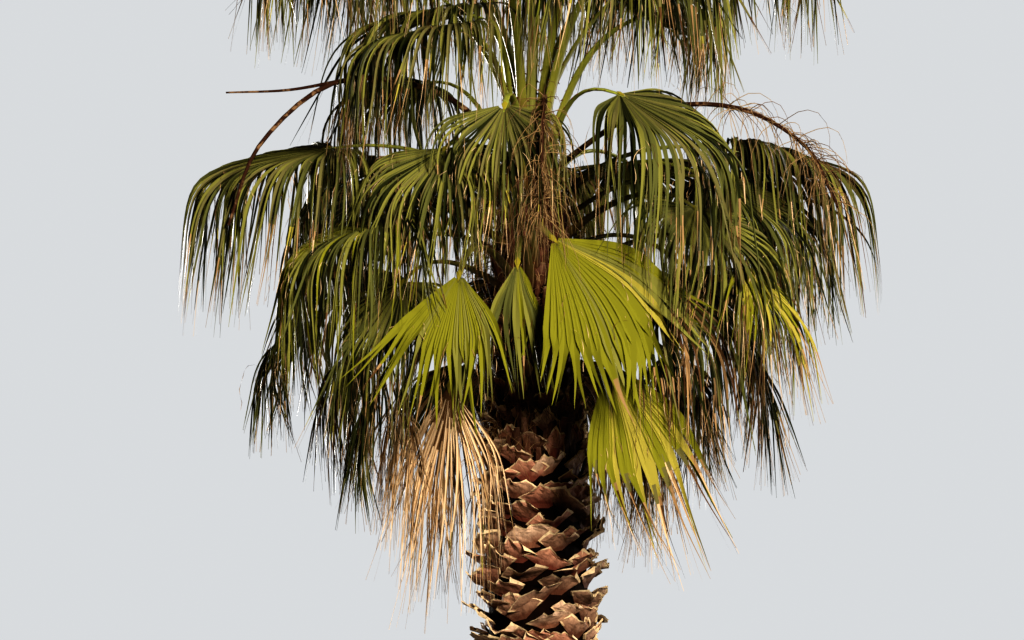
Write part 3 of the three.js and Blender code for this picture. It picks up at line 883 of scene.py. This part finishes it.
# %% Build the leaf stalks
def build_stalk(name, frond):
    line, across = stalk_line(frond)
    width = np.interp(np.linspace(0, 1, STALK_ROWS), STALK_WIDTH_PLACES, STALK_HALF_WIDTHS)
    section, row, faces = STALK
    points = sweep(STALK, line[None], np.broadcast_to(across, (1, STALK_ROWS, 3)), width[None], width[None])
    lift = unit(np.cross(unit(np.gradient(line, axis=0)), across))[row]
    flatten = np.where(section[:, 1] > 0, STALK_TOP_FLATNESS, STALK_FLATNESS) - 1
    points = points + lift * (flatten * section[:, 1] * width[row])[:, None]
    heap = Heap()
    heap.add(points, faces, 0)
    add_thorns(heap, line, across, width)
    kind = kind_of(name)
    living = green_stalk if frond["at"][2] > GREEN_ABOVE else dull_stalk
    main = dry_stalk if kind == "dead_frond" else living
    piece = heap.joined(f"{name}_stalk", [main, thorn_finish])
    add_rows_uv(piece, np.concatenate([row / (STALK_ROWS - 1), np.zeros(heap.size - len(row))]))
    return stand_for(piece, kind, name)


def build_flaps():
    """The small pointed yellow flap where each stalk meets its fan, a shallow pyramid."""
    heap = Heap()
    for frond in fronds.values():
        along, across = blade_axes(frond)
        lift = np.cross(along, across)
        lift = lift * np.sign(lift[2] + 1e-6)
        wide, high = across * FLAP_HALF, lift * FLAP_HIGH
        corners = np.array([-along * FLAP_BACK, wide, along * FLAP_LENGTH, -wide, high])
        points = corners + np.array(frond["at"]) + HEART + high / 2
        heap.add(points[None], FLAP_FACES, 0)
    return stand_for(heap.joined("stalk_flaps", [plain("stalk_flap", (0.3, 0.26, 0.03), 0.6)]), "frond")


stalks = [build_stalk(name, frond) for name, frond in fronds.items()]
flaps = build_flaps()
print(sum(len(piece.data.polygons) for piece in stalks), "faces in", len(stalks), "leaf stalks")
print(len(flaps.data.polygons), "faces in their flaps")

# %% [markdown]
# The trunk itself is turned from its outline with a spin, then given its lean, its root flare and its bark.
# Low down the old leaf bases have fallen, and the bark shows closed rings of leaf scars and upright cracks.
# Higher up it hides under the coat of leaf bases. Bark relief this coarse is worth real geometry, because
# it shows at the outline, and the finest cracks are bump.

# %% Trunk bark
BARK_ROW = 0.035
BARK_SIDES = 72
COAT_FROM = 0.95
RING_STEP = 0.07
RING_DEPTH = 0.004
CRACKS = 23
CRACK_DEPTH = 0.02
CRACKS_FADE = (0.7, 1.3)
PLAIN_CORE = 0.02
TIP_ROUND = 0.002
# Waves in the bark, each as its strength, its turns round the trunk and its rate up it.
RING_WANDERS = [(0.9, 2, 3.1), (0.5, 5, -9.3), (1, 0, 17)]
RING_UNEVENNESS = [(0.4, 4, 11)]
RING_EVENNESS = 0.6
CRACK_BENDS = [(1.3, 0, 1.7), (0.8, 2, 5)]


def waves(table, way, height):
    return sum(strength * np.sin(turns * way + rate * height) for strength, turns, rate in table)


def bark_relief(way, height):
    """How far the bark stands out at a place: flare lobes, leaf-scar rings and upright cracks."""
    lobe = FLARE_DEPTH * np.cos(FLARE_LOBES * way) * np.exp(-height / FLARE_REACH)
    depth = RING_DEPTH * (RING_EVENNESS + waves(RING_UNEVENNESS, way, height))
    ring = depth * np.abs(np.sin(math.pi * height / RING_STEP + waves(RING_WANDERS, way, height)))
    crack = np.abs(np.sin(0.5 * CRACKS * way + waves(CRACK_BENDS, way, height)))
    fade = 1 - smoothstep(height, *CRACKS_FADE)
    return lobe + ring - CRACK_DEPTH * (1 - crack) ** 4 * fade


def bark_finish():
    """Grey fissured bark low down, which turns near black under the coat of leaf bases: painted shade of the
    gaps between them.
    """
    finish = Finish("trunk_bark", roughness=0.85, gloss=0.1)
    height = finish.node("SeparateXYZ", {}, finish.place(), output="Z")
    fibre = finish.grain(finish.stretched((1, 1, 0.12)), scale=42, detail=6)
    patch = finish.grain(finish.place(), scale=5, detail=3)
    bands = dict(bands_direction="Z")
    ring = finish.node("TexWave", bands, Vector=finish.place(), Scale=4.5, Distortion=3.0, Detail=2.0)
    grey = finish.mix(patch.between(0.35, 0.65), (0.15, 0.12, 0.092), (0.31, 0.26, 0.21))
    # brown is near black: painted shade in the gaps of the coat of leaf bases.
    brown = finish.mix(patch.between(0.4, 0.7), (0.003, 0.0015, 0.001), (0.012, 0.006, 0.004))
    colour = finish.mix((1 - fibre.between(0.36, 0.6)) * 0.7, grey, (0.05, 0.03, 0.02))
    colour = finish.mix((1 - ring.between(0.02, 0.3)) * 0.2, colour, (0.07, 0.045, 0.03))
    colour = finish.mix(height.between(0.6, 1.5), colour, brown)
    finish.bumps(fibre + ring * 0.3, strength=0.7, distance=0.012)
    return finish.done(colour)


relief = bark_relief(np.linspace(-math.pi, math.pi, BARK_SIDES), 0)
print("round the foot the bark stands out by", relief.min().round(3), "to", relief.max().round(3), "m")

# %% Build the trunk
def build_trunk():
    bm = bmesh.new()
    top = TRUNK_HEIGHTS[-1]
    heights = np.linspace(0, top, round(top / BARK_ROW) + 1)
    side = [(float(trunk_radius(height)), height) for height in heights]
    outline = [(0.0, 0.0), *side, (0.0, top + TIP_ROUND)]
    corners = [bm.verts.new((radius, 0, height)) for radius, height in outline]
    edges = [bm.edges.new(pair) for pair in zip(corners, corners[1:])]
    bmesh.ops.spin(
        bm, geom=corners + edges, axis=(0, 0, 1), cent=(0, 0, 0), dvec=(0, 0, 0),
        angle=2 * math.pi, steps=BARK_SIDES, use_merge=True,
    )
    bmesh.ops.remove_doubles(bm, verts=bm.verts[:], dist=1e-5)
    bmesh.ops.recalc_face_normals(bm, faces=bm.faces[:])
    for vert in bm.verts:
        x, y, height = vert.co
        radius = math.hypot(x, y)
        wide = 1
        if radius > PLAIN_CORE:
            wide = 1 + float(bark_relief(math.atan2(x, y), height)) / radius
        middle = axis_at(height)
        vert.co = (middle[0] + x * wide, middle[1] + y * wide, height)
    mesh = bpy.data.meshes.new("trunk_wood")
    bm.to_mesh(mesh)
    bm.free()
    mesh.polygons.foreach_set("use_smooth", np.full(len(mesh.polygons), True))
    mesh.materials.append(bark_finish())
    return stand_for(in_scene("trunk_wood", mesh), "trunk", "trunk")


trunk = build_trunk()
print(len(trunk.data.polygons), "faces in the trunk")

# %% [markdown]
# The coat: when a dead leaf breaks off, its base stays. Each is a broad scoop, narrow at its foot, widest at
# two thirds of its height, curling out from the trunk, red-brown with a tan rim, and the next ones stand in
# the gaps. The pattern is a thin slab that solidify makes from a grid. A formula curls it for every copy at
# once, in a spiral that turns by the golden angle, as leaves grow.

# %% Leaf base finishes
def base_finish(name, foot, top, roughness=0.7):
    """From a dark foot, which is painted shade under the base above, to a paler top in ragged patches, with
    fibres along the trunk.
    """
    finish = Finish(name, roughness)
    fibre = finish.grain(finish.stretched((1, 1, 0.3)), scale=60, detail=5)
    patch = finish.grain(finish.place(), scale=14)
    place = finish.along() + (patch - 0.5) * 0.9
    colour = finish.mix(place.between(0.25, 0.85), foot, top)
    colour = finish.mix((1 - fibre.between(0.3, 0.52)) * 0.45, colour, [0.3 * c for c in foot])
    finish.bumps(fibre + patch * 0.5, strength=0.6, distance=0.008)
    return finish.done(colour, fibre * 0.35 + (roughness - 0.18))


BASE_FINISHES = [
    base_finish("leaf_base_red", (0.13, 0.04, 0.027), (0.55, 0.29, 0.2), 0.52),
    base_finish("leaf_base_brown", (0.1, 0.042, 0.026), (0.47, 0.29, 0.2)),
    base_finish("leaf_base_pale", (0.2, 0.092, 0.056), (0.74, 0.52, 0.38), 0.52),
    base_finish("leaf_base_rim", (0.44, 0.29, 0.16), (0.82, 0.65, 0.42), 0.6),
    # The hollow side of each base is near black: painted shade.
    base_finish("leaf_base_painted_shade", (0.02, 0.01, 0.007), (0.07, 0.035, 0.02), 0.9),
]
print(len(BASE_FINISHES), "leaf base finishes")

# %% Sizes of the leaf bases
BASES_PER_METRE = 118
COAT_TO = 5.5
COAT_THINS_OVER = (COAT_FROM - 0.1, COAT_FROM + 0.5)
YOUNG_OVER = (4.8, 5.4)
OLD_OVER = (1.2, 2.4)
GOLDEN_ANGLE = math.pi * (3 - math.sqrt(5))
HEIGHT_VARIES = 1.2
WAY_VARIES = 0.07
# Size: metres, how much they vary, and the shares that they stay between.
BASE_HEIGHT, BASE_HEIGHT_VARIES, BASE_HEIGHTS = 0.09, 0.14, (0.6, 1.4)
BASE_FOOT_HALF, BASE_TOP_HALF = 0.03, 0.115
BASE_WIDTH_VARIES, BASE_WIDTHS = 0.13, (0.7, 1.35)
BASE_WIDEST, BASE_NARROWING = 0.68, 0.45
BASE_THICKNESS, FOOT_THICKER = 0.008, 0.8
YOUNG_NARROWER, YOUNG_FLATTER, OLD_FLATTER = 0.45, 0.4, 0.3
# Curl: how far a base leans out from the trunk, at its middle, its ridge and its wings.
BASE_OUT, BASE_OUT_GROWTH, BASE_CURLS = 0.105, 1.7, (0.5, 1.3)
MIDDLE_CURL, RIDGE_CURL, WING_CURL = 0.55, 0.25, 0.3
CURLED_DOWN = 0.25
BASE_SUNK = 0.012
TURN_ROOM, TURN_OUT = 0.02, 0.5
# Outline: a peak over the ridge, wings at the sides, and a jagged rim.
BASE_PEAK, BASE_PEAKS = 0.042, (-0.4, 1.1)
BASE_WING, BASE_WINGS = 0.025, (-0.4, 1)
BASE_JAG = 0.008
TIP_GROWTH, JAG_GROWTH = 2.5, 3
RIDGE_REACH = 1.2
BASE_SKEW = 0.35
BASE_TILT = 0.25
# Unevenness: one slow wave across a base and finer ones both ways.
BASE_BUCKLE, BUCKLE_WAVES = 0.012, 2.5
BASE_WOBBLE, WOBBLES_ACROSS, WOBBLES_UP = 0.005, 9, 7
WAVE_PHASES = 6
BASE_SHARES = [0.42, 0.33, 0.25]
PALE = 2
YOUNG_PALE_AND_LIT = 0.6
BASE_COLUMNS = [0, 0.05, 0.2, 0.36, 0.5, 0.64, 0.8, 0.95, 1]
BASE_ROWS = [0, 0.25, 0.48, 0.68, 0.83, 0.935, 1]
OUTER, INNER, RIM = 0, 4, 3
RIM_ABOVE, RIM_BESIDE = 0.5, 0.47


def base_pattern():
    """A flat slab with places from 0 to 1 both ways, and slots for its outer face, its hollow side painted as
    shade, and its rim.
    """
    bm = bmesh.new()
    bmesh.ops.create_grid(bm, x_segments=len(BASE_COLUMNS) - 1, y_segments=len(BASE_ROWS) - 1, size=1)
    for vert in bm.verts:
        column = round((vert.co.x + 1) / 2 * (len(BASE_COLUMNS) - 1))
        row = round((vert.co.y + 1) / 2 * (len(BASE_ROWS) - 1))
        vert.co = (BASE_COLUMNS[column], BASE_ROWS[row], 0)
    bmesh.ops.solidify(bm, geom=bm.faces[:], thickness=1)
    bm.normal_update()
    top = max(v.co.z for v in bm.verts)
    for face in bm.faces:
        middle = face.calc_center_median()
        edge = middle.y > BASE_ROWS[-2] or (middle.y > RIM_ABOVE and abs(middle.x - 0.5) > RIM_BESIDE)
        outside = abs(middle.z - top) < 0.1
        face.material_index = RIM if edge else OUTER if outside else INNER
    points, faces, slots = pattern(bm)
    points[:, 2] -= points[:, 2].min()
    return points, faces, slots


BASE = base_pattern()
print("a leaf base has", len(BASE[1]), "triangles")

# %% Build the coat of leaf bases
def curled_bases(points, height, way, young):
    """Every leaf base's points. u runs across a base from -1 to 1, v up it from 0 to 1."""
    count = len(height)
    u, v, layer = 2 * points[:, 0] - 1, points[:, 1], points[:, 2]
    old = 1 - smoothstep(height, *OLD_OVER)
    spreading = np.minimum(v / BASE_WIDEST, 1)
    half = BASE_FOOT_HALF + (BASE_TOP_HALF - BASE_FOOT_HALF) * spreading
    half = half * (1 - BASE_NARROWING * smoothstep(v, BASE_WIDEST, 1.0))
    half = half * rng.normal(1, BASE_WIDTH_VARIES, (count, 1)).clip(*BASE_WIDTHS)
    half = half * (1 - YOUNG_NARROWER * young)
    skew = rng.normal(0, BASE_SKEW, (count, 1))
    column = np.abs(points[:, :1] - BASE_COLUMNS).argmin(axis=1)
    jag = rng.normal(0, BASE_JAG, (count, len(BASE_COLUMNS)))[:, column] * v**JAG_GROWTH
    ridge = 1 - np.abs(u - skew).clip(0, RIDGE_REACH)
    winged = rng.uniform(*BASE_WINGS, (count, 1)) * np.abs(u) ** TIP_GROWTH
    peak = BASE_PEAK * rng.uniform(*BASE_PEAKS, (count, 1)) * ridge + BASE_WING * winged
    tall = BASE_HEIGHT * rng.normal(1, BASE_HEIGHT_VARIES, (count, 1)).clip(*BASE_HEIGHTS)
    tilt = rng.normal(0, BASE_TILT, (count, 1)) * u * half
    curl = rng.uniform(*BASE_CURLS, (count, 1)) * (1 - OLD_FLATTER * old) * (1 - YOUNG_FLATTER * young)
    curl = curl * (MIDDLE_CURL + RIDGE_CURL * ridge.clip(0, 1) + WING_CURL * winged)
    out = BASE_OUT * curl * v**BASE_OUT_GROWTH
    buckle = BASE_BUCKLE * np.sin(BUCKLE_WAVES * u + WAVE_PHASES * rng.random((count, 1))) * v**2
    waves = WOBBLES_ACROSS * u + WOBBLES_UP * v + WAVE_PHASES * rng.random((count, 1))
    wobble = BASE_WOBBLE * np.sin(waves) * v
    thick = BASE_THICKNESS * (1 + FOOT_THICKER * (1 - v)) * layer
    z = height + tall * v + v**TIP_GROWTH * peak + tilt + buckle + jag - CURLED_DOWN * out
    radius = trunk_radius(height) - BASE_SUNK + out + wobble + thick + BASE_SUNK * v
    turn = way + u * half / (trunk_radius(height) + TURN_ROOM + TURN_OUT * out)
    return axis_at(z) + outward(turn) * radius[..., None]


def build_coat():
    points, faces, slots = BASE
    count = round((COAT_TO - COAT_FROM) * BASES_PER_METRE)
    order = np.arange(count)[:, None]
    height = COAT_FROM + (COAT_TO - COAT_FROM) * (order + rng.normal(0, HEIGHT_VARIES, (count, 1))) / count
    way = order * GOLDEN_ANGLE + rng.normal(0, WAY_VARIES, (count, 1))
    young = smoothstep(height, *YOUNG_OVER)
    stays = rng.random((count, 1)) < smoothstep(height, *COAT_THINS_OVER)
    placed = curled_bases(points, height, way, young)
    # More bases are pale high up: partly the young bases' own colour, partly painted light against the
    # crown's shadow.
    is_pale = rng.random((count, 1)) < young * YOUNG_PALE_AND_LIT
    tint = np.where(is_pale, PALE, rng.choice(len(BASE_SHARES), (count, 1), p=BASE_SHARES))
    stays = stays.ravel()
    slots = np.where(slots == OUTER, tint, slots)[stays]
    piece = joined_copies("leaf_bases", placed[stays], faces, slots, BASE_FINISHES, smooth=False)
    add_rows_uv(piece, np.tile(points[:, 1], stays.sum()))
    return stand_for(piece, "trunk")


coat = build_coat()
print(len(coat.data.polygons), "triangles in the coat of leaf bases")

# %% [markdown]
# Just under the crown the broken stalks still stand, upright and close together, with pale broken ends, and
# brown fibre is matted between them and round the growing point.

# %% Build the broken stalks and the fibre
STUBS = 300
STUBS_FROM = 5.05
STUBS_TO = 6.3
STUB_ROWS = 4
STUB = limb_pattern(7, STUB_ROWS)
STUB_LEANS = (0.1, 0.42)
STUB_LENGTHS = (0.1, 0.24)
STUB_HALF_WIDTHS = (0.011, 0.024)
STUB_FOOT_WIDER, STUB_TAPER, STUB_FLATNESS = 1.25, 0.4, 0.5
STUB_SUNK = 0.01
STUB_CROWDING = 0.9
STUB_WAY_VARIES, STUB_LEAN_VARIES = 0.08, 0.05
STUB_SHARES = [0.25, 0.7, 0.05]
STUB_PALES_TO = 0.35
FIBRES = 2600
FIBRE_STEPS = 6
FIBRE_FROM, FIBRE_TO = 5.2, 6.78
FIBRE_DEEP = 0.05
FIBRE_OUTWARD, FIBRE_TANGLE = 0.5, 0.6
FIBRE_LENGTHS = (0.06, 0.26)
FIBRE_BEND = dict(droop=0.8, bend_from=0, bend_to=1.0)
FIBRE_WANDER = 0.006
FIBRE_HALF_WIDTH = 0.0016
FIBRE_COLOURS = ("tan", "brown")
FIBRE_FACES = strip_faces(FIBRE_STEPS + 1, 2)


def build_stubs():
    count = STUBS
    order = np.arange(count)
    _, row, faces = STUB
    height = STUBS_FROM + (STUBS_TO - STUBS_FROM) * (order / count) ** STUB_CROWDING
    way = order * GOLDEN_ANGLE + rng.normal(0, STUB_WAY_VARIES, count)
    out = outward(way)
    foot = axis_at(height) + out * (trunk_radius(height) - STUB_SUNK)[:, None]
    lean = out * rng.uniform(*STUB_LEANS, count)[:, None]
    rise = unit(UP + lean + rng.normal(0, STUB_LEAN_VARIES, (count, 3)))
    length = rng.uniform(*STUB_LENGTHS, count)
    share = np.linspace(0, 1, STUB_ROWS)
    lines = foot[:, None] + rise[:, None] * (length[:, None] * share)[..., None]
    width = rng.uniform(*STUB_HALF_WIDTHS, count)[:, None] * (STUB_FOOT_WIDER - STUB_TAPER * share)
    across = np.broadcast_to(np.cross(UP, out)[:, None], lines.shape)
    points = sweep(STUB, lines, across, width, width * STUB_FLATNESS)
    is_end = (row[faces] == STUB_ROWS - 1).all(axis=1)
    tint = rng.choice(len(STUB_SHARES), (count, 1), p=STUB_SHARES)
    slots = np.where(is_end, RIM, tint)
    piece = joined_copies("broken_stalks", points, faces, slots, BASE_FINISHES, smooth=False)
    # Stubs take only the lower, darker share of the base finishes' ramp, whose dark foot is painted shade.
    add_rows_uv(piece, np.tile(row / (STUB_ROWS - 1) * STUB_PALES_TO, count))
    return stand_for(piece, "trunk")


def build_fibre():
    count = FIBRES
    height = rng.uniform(FIBRE_FROM, FIBRE_TO, count)
    out = outward(rng.uniform(0, 2 * math.pi, count))
    start = axis_at(height) + out * (trunk_radius(height) + rng.uniform(0, FIBRE_DEEP, count))[:, None]
    heading = unit(out * FIBRE_OUTWARD + rng.normal(0, FIBRE_TANGLE, (count, 3)))
    length = rng.uniform(*FIBRE_LENGTHS, count)
    lines = drooping_lines(start, heading, length, **FIBRE_BEND, steps=FIBRE_STEPS)
    lines += np.cumsum(rng.normal(0, FIBRE_WANDER, lines.shape), axis=1)
    side = unit(rng.normal(0, 1, (count, 1, 3))) * FIBRE_HALF_WIDTH
    points = np.stack([lines - side, lines + side], axis=2).reshape(count, -1, 3)
    tint = rng.integers(0, len(FIBRE_COLOURS), (count, 1))
    piece = joined_copies("heart_fibre", points, FIBRE_FACES, tint, leaf_paints(*FIBRE_COLOURS))
    return stand_for(piece, "trunk")


stubs = build_stubs()
fibre = build_fibre()
print(len(stubs.data.polygons), "triangles in broken stalks and", len(fibre.data.polygons), "quads of fibre")

# %% [markdown]
# Old flower stalks arch out of the crown and hang, dry and brown, long after their fruit has gone. Each is a
# swept limb through a few places, and fine twigs droop from the outer part of the right and centre ones.

# %% Sizes of the flower stalks
FLOWER_ROUTES = dict(
    left=(
        0.017,
        [(-0.06, 0, 0), (-0.4, -0.26, 0.3), (-0.9, -0.5, 0.33), (-1.27, -0.66, 0), (-1.42, -0.7, -0.4)],
    ),
    left_spur=(
        0.009,
        [(-0.9, -0.5, 0.33), (-1.15, -0.58, 0.27), (-1.44, -0.62, 0.25)],
    ),
    right=(
        0.015,
        [(0.06, 0, -0.05), (0.5, -0.3, 0.2), (0.95, -0.48, 0.21), (1.3, -0.5, 0.02), (1.46, -0.5, -0.28)],
    ),
    centre=(
        0.014,
        [(0.03, -0.05, 0), (0.07, -0.5, 0.22), (0.06, -1, 0.12), (0.05, -1.1, -0.22), (0.04, -1.1, -0.42)],
    ),
)
FLOWER_ROWS = 22
FLOWER_LIMB = limb_pattern(7, FLOWER_ROWS)
TWIG_STEPS = 7
TWIG = limb_pattern(3, TWIG_STEPS + 1)
TWIGS = dict(right=130, centre=150)
TWIGS_FROM, TWIGS_CROWDING = 0.35, 0.8
TWIGS_ALONG, TWIGS_TANGLE = 0.6, 0.7
TWIG_LENGTHS = (0.12, 0.42)
TWIG_BEND = dict(droop=0.9, bend_from=-0.1, bend_to=0.9)
TWIG_WANDER = 0.004
TWIG_HALF_WIDTH, TWIG_TAPER = 0.0023, 0.3
FLOWER_TAPER = 0.45
ACROSS = np.array([0, 1.0, 0])
stalk_brown = stalk_finish(
    "flower_stalk", [(0.02, 0.009, 0.006), (0.028, 0.012, 0.008), (0.05, 0.023, 0.014)],
    roughness=0.6, gloss=0.15, husks=(0.2, 0.12, 0.065),
)
twig_materials = [plain("twig_tan", (0.38, 0.26, 0.13), 0.7), plain("twig_brown", (0.17, 0.1, 0.05), 0.7)]
print(sum(TWIGS.values()), "twigs")

# %% Build the flower stalks
def smooth_line(places, rows):
    """A smooth line through a few places, with rows of points."""
    knots = np.array(places, float)
    knots = np.concatenate([2 * knots[:1] - knots[1:2], knots, 2 * knots[-1:] - knots[-2:-1]])
    at = np.linspace(0, len(places) - 1, rows)
    low = np.minimum(at.astype(int), len(places) - 2)
    t = (at - low)[:, None]
    a, b, c, d = knots[low], knots[low + 1], knots[low + 2], knots[low + 3]
    return b + 0.5 * t * (c - a + t * (2 * a - 5 * b + 4 * c - d + t * (3 * (b - c) + d - a)))


def build_flower_stalk(name, radius, places):
    line = smooth_line(places, FLOWER_ROWS)[None] + HEART
    width = radius * np.linspace(1, FLOWER_TAPER, FLOWER_ROWS)[None]
    across = np.broadcast_to(ACROSS, line.shape)
    points = sweep(FLOWER_LIMB, line, across, width, width)
    piece = joined_copies(f"flower_stalk_{name}_stem", points, FLOWER_LIMB[2], 0, [stalk_brown])
    add_rows_uv(piece, FLOWER_LIMB[1] / (FLOWER_ROWS - 1))
    return stand_for(piece, "flower_stalk", f"flower_stalk_{name}"), line[0]


def build_twigs(lines):
    heap = Heap()
    for name, count in TWIGS.items():
        line = lines[name]
        place = rng.uniform(TWIGS_FROM, 1, count) ** TWIGS_CROWDING * (FLOWER_ROWS - 1.001)
        start, step = between_rows(line, place)
        way = unit(unit(step) * TWIGS_ALONG + rng.normal(0, TWIGS_TANGLE, (count, 3)))
        length = rng.uniform(*TWIG_LENGTHS, count)
        paths = drooping_lines(start, way, length, **TWIG_BEND, steps=TWIG_STEPS)
        paths += np.cumsum(rng.normal(0, TWIG_WANDER, paths.shape), axis=1)
        width = TWIG_HALF_WIDTH * np.linspace(1, TWIG_TAPER, TWIG_STEPS + 1)
        width = np.broadcast_to(width, (count, TWIG_STEPS + 1))
        across = np.broadcast_to(unit(rng.normal(0, 1, (count, 1, 3))), paths.shape)
        heap.add(sweep(TWIG, paths, across, width, width), TWIG[2], rng.integers(0, 2, (count, 1)))
    return stand_for(heap.joined("flower_twigs", twig_materials), "flower_stalk")


flower_lines = {name: build_flower_stalk(name, *route)[1] for name, route in FLOWER_ROUTES.items()}
twigs = build_twigs(flower_lines)
print(len(flower_lines), "flower stalks with", len(twigs.data.polygons), "triangles of twigs")

# %% [markdown]
# The youngest leaf stands closed on the trunk's tip like a folded fan. It is a swept limb whose section is
# pleated by pushing every second row of points in.

# %% Build the new leaf
NEW_LEAF_LENGTH = 0.95
NEW_LEAF_RADIUS = 0.026
NEW_LEAF_SUNK = 0.05
NEW_LEAF_LEAN = (0.02, 0.03)
NEW_LEAF_TAPER = 0.9
NEW_LEAF_PLEAT = 0.8
NEW_LEAF_SIDES = 16
NEW_LEAF_ROWS = 14
NEW_LEAF = limb_pattern(NEW_LEAF_SIDES, NEW_LEAF_ROWS)


def build_new_leaf():
    section, row, faces = NEW_LEAF
    foot = axis_at(TRUNK_HEIGHTS[-1] - NEW_LEAF_SUNK)
    tip = foot + np.array([*NEW_LEAF_LEAN, NEW_LEAF_LENGTH])
    share = np.linspace(0, 1, NEW_LEAF_ROWS)
    line = foot + (tip - foot) * share[:, None]
    width = NEW_LEAF_RADIUS * (1 - NEW_LEAF_TAPER * share**2.2)
    across = np.broadcast_to(ACROSS, (1, NEW_LEAF_ROWS, 3))
    turn = np.arctan2(section[:, 1], section[:, 0]) / (2 * math.pi / NEW_LEAF_SIDES)
    pleated = section * np.where(np.round(turn).astype(int) % 2 == 0, 1, NEW_LEAF_PLEAT)[:, None]
    points = sweep((pleated, row, faces), line[None], across, width[None], width[None])
    piece = joined_copies("new_leaf_spear", points, faces, 0, leaf_paints("fresh"), smooth=False)
    return stand_for(piece, "frond", "new_leaf")


new_leaf = build_new_leaf()
print(len(new_leaf.data.polygons), "triangles in the new leaf")

# %% [markdown]
# The stage: a plain pale floor, and a camera low in front that looks up at the crown as the photograph does.
# A soft warm light comes low from the right in front, a weak cool one from the left, and two wide ones from
# behind and from the right side, so that no side is lost in the dark. The pale surrounding shows brighter
# than it lights, and the view has more contrast than usual, because the gaps between the fans are deep.

# %% Floor, camera and lights
CAMERA_PLACE = (-0.186, -28, 1.6)
CAMERA_TARGET = (-0.186, 0, 5.856)
CAMERA_LENS = 207
CAMERA_SIGHT = 300
FLOOR_RADIUS = 2.2
FLOOR_SIDES = 96
FLOOR_DROP = 0.001
PALE_GREY = (0.8, 0.82, 0.84)
SHOWN = 0.64
AMBIENT = 0.005
LIGHTS = dict(
    key=dict(place=(5.4, -17.6, 9.8), target=(0, 0, 6), power=5000, size=3.0, colour=(1.0, 0.89, 0.73)),
    fill=dict(place=(-14, -10, 6), target=(0, 0, 6), power=12, size=6.0, colour=(0.85, 0.92, 1.0)),
    back=dict(place=(-9, 16, 8), target=(0, 0, 5), power=3600, size=6.0, colour=(1.0, 0.95, 0.88)),
    side=dict(place=(15, 8, 8), target=(0, 0, 5), power=1200, size=6.0, colour=(1.0, 0.95, 0.88)),
)


def look_at(thing, target):
    thing.rotation_euler = (Vector(target) - thing.location).to_track_quat("-Z", "Y").to_euler()


def add_light(name, place, target, power, size, colour):
    light = bpy.data.lights.new(name, "AREA")
    light.energy = power
    light.size = size
    light.color = colour
    lamp = in_scene(name, light)
    lamp.location = place
    look_at(lamp, target)
    return lamp


def make_surrounding():
    """A pale surrounding that gives less light than it shows, as behind a lit thing in a studio."""
    world = bpy.data.worlds.new("pale_surrounding")
    world.use_nodes = True
    nodes, links = world.node_tree.nodes, world.node_tree.links
    shown = nodes["Background"]
    shown.inputs["Color"].default_value = (*PALE_GREY, 1)
    shown.inputs["Strength"].default_value = SHOWN
    giving = nodes.new("ShaderNodeBackground")
    giving.inputs["Color"].default_value = (*PALE_GREY, 1)
    giving.inputs["Strength"].default_value = AMBIENT
    seen = nodes.new("ShaderNodeLightPath")
    either = nodes.new("ShaderNodeMixShader")
    links.new(seen.outputs["Is Camera Ray"], either.inputs[0])
    links.new(giving.outputs[0], either.inputs[1])
    links.new(shown.outputs[0], either.inputs[2])
    links.new(either.outputs[0], nodes["World Output"].inputs["Surface"])
    bpy.context.scene.world = world


def build_stage():
    bm = bmesh.new()
    bmesh.ops.create_circle(bm, cap_ends=True, radius=FLOOR_RADIUS, segments=FLOOR_SIDES)
    bmesh.ops.translate(bm, verts=bm.verts[:], vec=(0, 0, -FLOOR_DROP))
    mesh = bpy.data.meshes.new("floor")
    bm.to_mesh(mesh)
    bm.free()
    mesh.materials.append(plain("pale_floor", PALE_GREY, 0.9))
    in_scene("floor", mesh)
    make_surrounding()
    camera = in_scene("camera", bpy.data.cameras.new("camera"))
    camera.data.lens = CAMERA_LENS
    camera.data.clip_end = CAMERA_SIGHT
    camera.location = CAMERA_PLACE
    look_at(camera, CAMERA_TARGET)
    bpy.context.scene.camera = camera


build_stage()
lamps = {name: add_light(name, **light) for name, light in LIGHTS.items()}
lamps["key"].visible_glossy = False  # its mirror glare would whiten the fans' tops, seen from behind
bpy.context.scene.view_settings.view_transform = "Standard"
bpy.context.scene.view_settings.look = "High Contrast"
print("stage set with", len(lamps), "lights")
